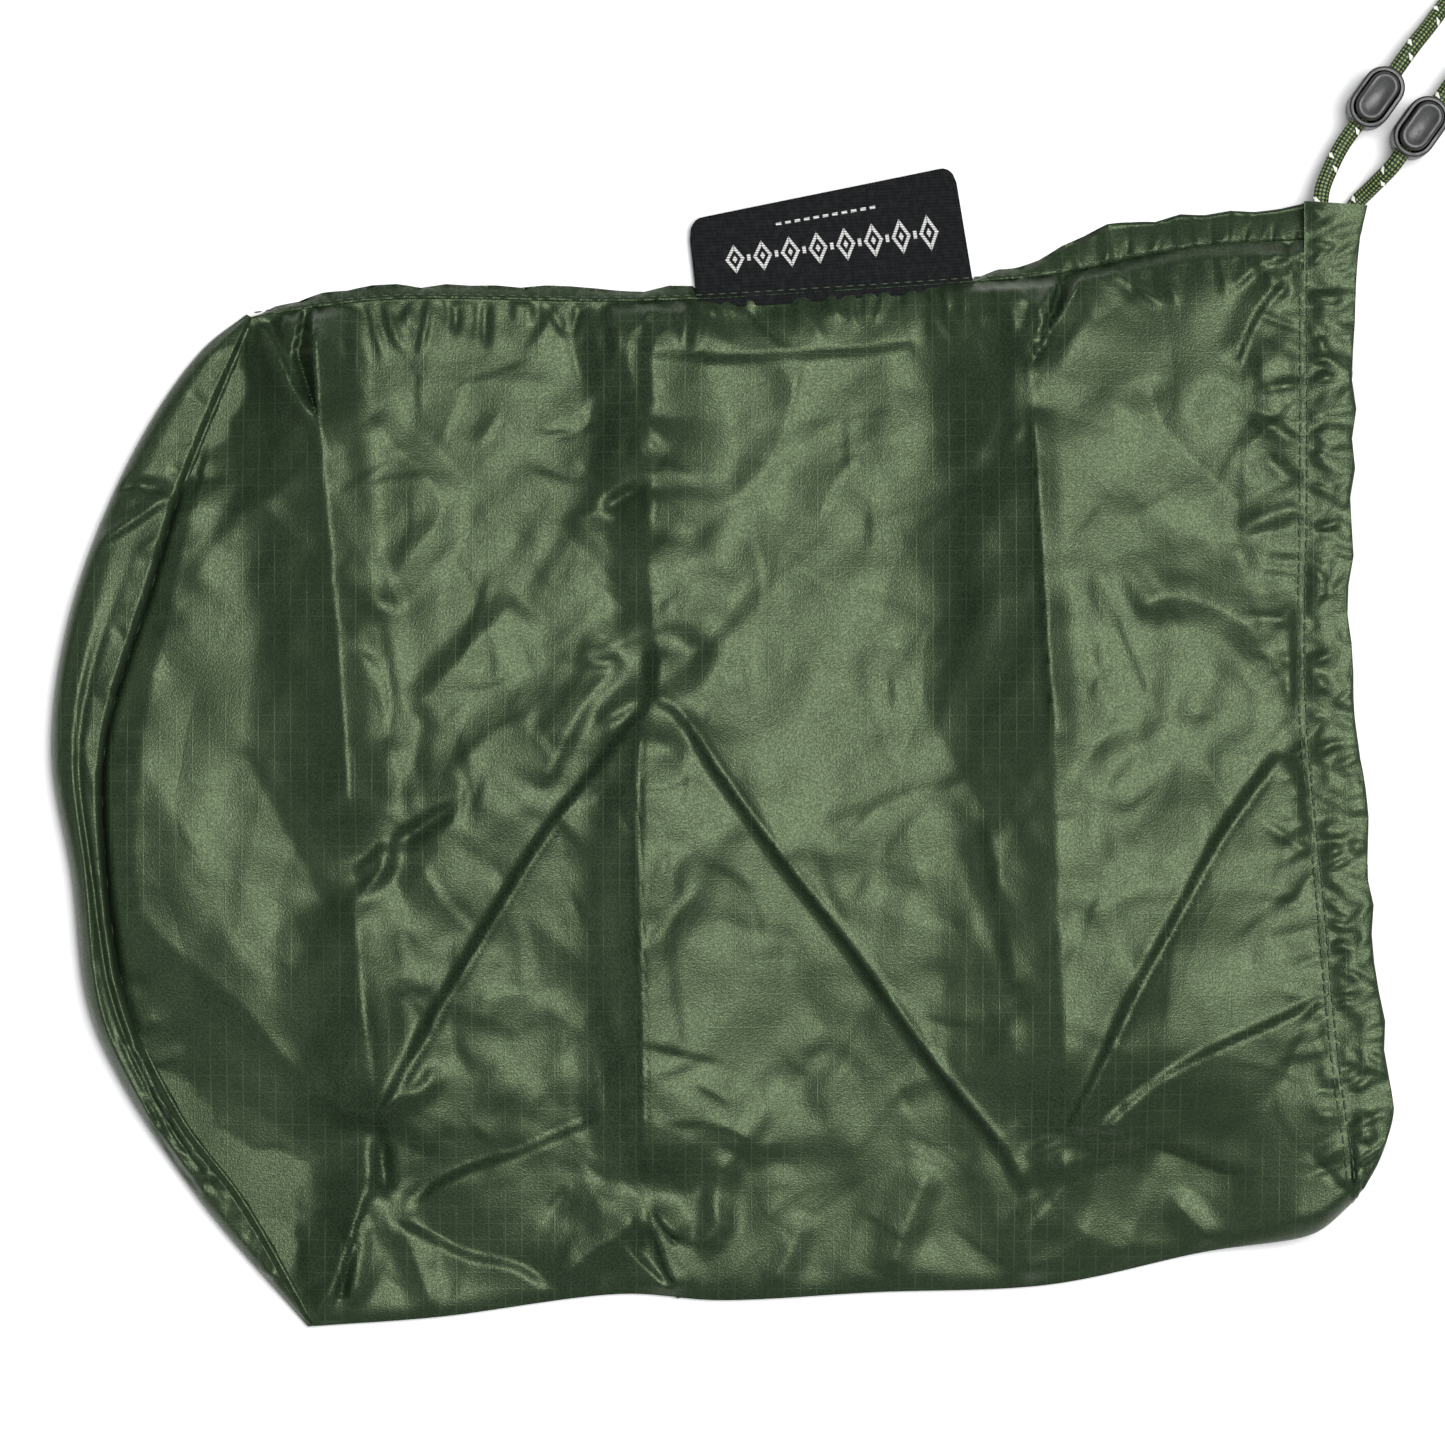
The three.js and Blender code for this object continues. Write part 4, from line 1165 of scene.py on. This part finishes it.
def add_side_seam():
    rows, columns = SEAM_GRID
    u = np.linspace(0, 1, columns)
    low, high = SEAM_LINE.at(u), SEAM_EDGE.at(u)
    behind_label = smooth((low[:, :1] + 6) / 3) * smooth((51.5 - low[:, :1]) / 3)
    high = lerp(high, low + np.array([0, 0.7]), behind_label)
    across = np.linspace(0, 1, rows)[:, None]
    plan = lerp(low[None], high[None], across[..., None])
    level = edge_height(u, np.ones(columns))
    ruffle = puckers(SEAM_LINE, 1, 2.0, (1.5, 6), (0.2, 0.55), (0.6, 1.5), lean=0.5)
    flat = plan.reshape(-1, 2)
    rise = add_folds(flat.copy(), np.zeros(len(flat)), ruffle).reshape(rows, columns)
    droop = -SEAM_DROOP * across ** 1.5
    top = raised(plan, level[None] + SEAM_OVER + rise + droop)
    bottom = raised(plan, level[None] - SEAM_UNDER + 0.6 * rise + 0.4 * droop)
    edge = 0.3 * np.interp(u, u[::12], rng.normal(0, 1, len(u[::12])))
    for grid in (top, bottom):
        grid[..., 1] += edge[None] * across ** 2
        grid[..., 2] = np.maximum(grid[..., 2], GROUND)
    declare(add_slab("side_seam_allowance", top, bottom, NYLON), "side_seam")
    path = [(x, y + 0.75, z + 0.8) for (x, y), z in zip(low[::6], level[::6])]
    stitch_row("side_seam_stitches", path, 1.45, 0.75, 0.15, "side_seam_stitching")


def add_channel_stitches():
    shares = np.linspace(0.99, 0.02, 120)
    flat = CHANNEL_STITCH.at(shares)
    level = channel_level(shares, True) + HEM_RAISE + STITCH_LIFT
    for name, offset, node in (("a", -0.75, "channel_stitching"), ("b", 0.55, None)):
        path = [(x + offset, y, z) for (x, y), z in zip(flat, level)]
        stitch_row(f"channel_stitches_{name}", path, 1.7, 0.5, 0.2, node)
    across = [(x, 97.4 + 0.05 * (x - 110), 9.0 - 0.06 * (x - 110)) for x in np.linspace(108, 120.5, 8)]
    stitch_row("channel_end_stitches", across, 1.4, 0.8, 0.15)


INNER_CORD_RADIUS = 0.00132
# The cord's turn inside the fold, in millimetres.
CORD_TURN = np.array([
    (120.4, -78.6, 10.4), (119.4, -81.8, 9.2), (119.0, -83.2, 7), (119.4, -81.8, 4.8), (120.4, -78.6, 3.6),
])


def add_cord_inside():
    """The drawcord's run through the channel, from one exit round the fold to the other."""
    stitch, mouth = channel_rings()
    middle = (stitch + mouth) / 2
    half = len(middle) // 2
    upper = middle[np.linspace(16, half - 18, 30).astype(int)]
    lower = middle[np.linspace(half + 18, len(middle) - 17, 30).astype(int)]
    inside = np.vstack([upper, CORD_TURN, lower]) * MM
    route = [LEFT_TAIL[1], LEFT_TAIL[0], *inside, RIGHT_TAIL[0], RIGHT_TAIL[1]]
    braided_tube("cord_in_channel", route, "drawcord_in_channel", INNER_CORD_RADIUS, 20, 0.0006)


def add_base_seam():
    """The base is sewn to the body in the slit, with a narrow double edge."""
    rows = np.linspace(0.01, 0.99, 420)
    middle = BASE_SEAM.at(rows)
    crest = BASE_SEAM_CREST + 0.2 * np.sin(rows * 210) * np.sin(rows * 57)
    columns = [(-0.9, -0.9), (-0.5, 0.0), (0.0, 0.35), (0.5, 0.0), (0.9, -0.9)]
    top = np.array([np.column_stack([middle + (x, 0), crest + dz]) for x, dz in columns])
    bottom = top.copy()
    bottom[..., 2] = GROUND + 0.5
    declare(add_slab("base_seam_edge", top, bottom, BASE_NYLON), "base_seam")


# ---------------- woven label
LABEL_CORNERS = np.array([(-3.9, 82.8), (48.4, 86.6), (44.5, 110.1), (-5.8, 99.8)])
LABEL_GRID = (44, 130)
LABEL_WIDTH = 51.0
LABEL_HEIGHTS = (12.3, 19.5)
LABEL_ROUND = 2.6
LABEL_LEVEL = 1.6
LABEL_THICK = 0.9


def label_place(s, t):
    """Plan points for shares along the label's foot and up its height."""
    a, b, c, d = LABEL_CORNERS
    s, t = s[..., None], t[..., None]
    return lerp(lerp(a, b, s), lerp(d, c, s), t)


def label_level(s, t):
    return LABEL_LEVEL + 0.25 * np.sin(5.1 * s + 0.6) * t + 0.3 * t * t * (1 - s)


def add_label():
    rows, columns = LABEL_GRID
    s = np.linspace(0, 1, columns)
    height = lerp(*LABEL_HEIGHTS, s)
    from_side = np.minimum(s, 1 - s) * LABEL_WIDTH
    inset = np.clip(LABEL_ROUND - from_side, 0, None)
    tall = 1 - (LABEL_ROUND - np.sqrt(np.clip(LABEL_ROUND ** 2 - inset ** 2, 0, None))) / height
    t = np.linspace(0, 1, rows)[:, None] * tall
    s = np.broadcast_to(s, t.shape)
    plan = label_place(s, t)
    rim = np.minimum(from_side, (1 - t / tall) * height)
    half = LABEL_THICK / 2 * (0.55 + 0.45 * smooth(rim / 0.7))
    top, bottom = (raised(plan, label_level(s, t) + side * half) for side in (1, -1))
    piece = add_slab("woven_tab", top, bottom, LABEL)
    flat = np.column_stack([(s * LABEL_WIDTH * MM).ravel(), (t * height * MM).ravel()])
    layer = piece.data.uv_layers.new(name="weave")
    layer.data.foreach_set("uv", np.vstack([flat, flat])[corner_points(piece)].ravel())
    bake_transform(piece)
    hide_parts("woven_label")
    return piece


def motif_block(points, faces, outline, rise=0.28):
    """One raised patch of satin weave. Its outline is in shares of the label."""
    first = len(points)
    count = len(outline)
    s, t = np.array(outline).T
    plan = label_place(s, t)
    level = label_level(s, t) + LABEL_THICK / 2
    middle = plan.mean(0)
    for size, lift in ((1.0, -0.1), (1.0, rise * 0.5), (0.86, rise)):
        points += np.column_stack([middle + (plan - middle) * size, level + lift]).tolist()
    faces += (grid_faces(3, count, close_columns=True) + first).tolist()
    faces.append([first + 2 * count + k for k in range(count)])
    faces.append([first + k for k in range(count)][::-1])


LOZENGES = 8
LOZENGE = np.array([(-1, 0), (0, -1), (1, 0), (0, 1)]) * (0.036, 0.155)
SQUARE = np.array([(-1, -1), (1, -1), (1, 1), (-1, 1)])
DASH_COUNT = 11


def add_motif():
    """A plain woven border: a chain of lozenges with small squares between, and a dash row."""
    points, faces = [], []
    step = 0.715 / (LOZENGES - 1)
    for i in range(LOZENGES):
        middle = np.array([0.155 + step * i, 0.50])
        for k in range(4):
            a, b = LOZENGE[k], LOZENGE[(k + 1) % 4]
            bar = np.array([a, b, lerp(b, 0.36 * b, 0.62), lerp(a, 0.36 * a, 0.62)])
            motif_block(points, faces, middle + bar)
        motif_block(points, faces, middle + 0.28 * LOZENGE)
        if i < LOZENGES - 1:
            motif_block(points, faces, middle + (step / 2, 0) + SQUARE * (0.007, 0.035))
    for i in range(DASH_COUNT):
        middle = (lerp(0.33, 0.68, i / (DASH_COUNT - 1)), 0.786)
        motif_block(points, faces, middle + SQUARE * (0.011, 0.014), 0.2)
    piece = add_mesh("label_border", np.array(points), faces, SILVER, closed=True)
    piece.data.set_sharp_from_angle(angle=math.radians(40))
    return declare(piece, body="label")


# ---------------- the bag, declared
body = add_body()
channel = add_channel()
base = add_base()
add_side_seam()
add_channel_stitches()
add_cord_inside()
add_base_seam()
label = add_label()
motif = add_motif()

# ---------------- floor and light
FLOOR_HALF = 6.0
WORLD_STRENGTH = 0.12


def add_floor():
    m = Nodes("pale_floor")
    colour = m.mix(m.noise(3.0, 2.0), (0.86, 0.86, 0.86), (0.88, 0.88, 0.88))
    m.finish(colour, 0.9, Specular_IOR_Level=0.1)
    corners = [(x * FLOOR_HALF, y * FLOOR_HALF, 0) for x, y in SQUARE]
    add_mesh("floor", corners, [[0, 1, 2, 3]], m.material, unit=1)


def add_light(name, place, size, power, colour=(1, 1, 1)):
    data = bpy.data.lights.new(name, "AREA")
    data.shape = "DISK"
    data.size = size
    data.energy = power
    data.color = colour
    light = bpy.data.objects.new(name, data)
    light.location = place
    light.rotation_euler = (-Vector(place)).to_track_quat("-Z", "Y").to_euler()
    light.visible_camera = False
    bpy.context.scene.collection.objects.link(light)


def add_studio():
    world = bpy.data.worlds.new("studio")
    world.use_nodes = True
    background = world.node_tree.nodes["Background"]
    background.inputs["Color"].default_value = (1, 1, 1, 1)
    background.inputs["Strength"].default_value = WORLD_STRENGTH
    bpy.context.scene.world = world
    bpy.context.scene.view_settings.view_transform = "Standard"
    add_light("key", (0.52, 0.24, 2.2), 1.35, 72)
    add_light("fill", (-1.5, -1.0, 1.3), 1.2, 4, (0.88, 0.96, 1.0))


add_floor()
add_studio()
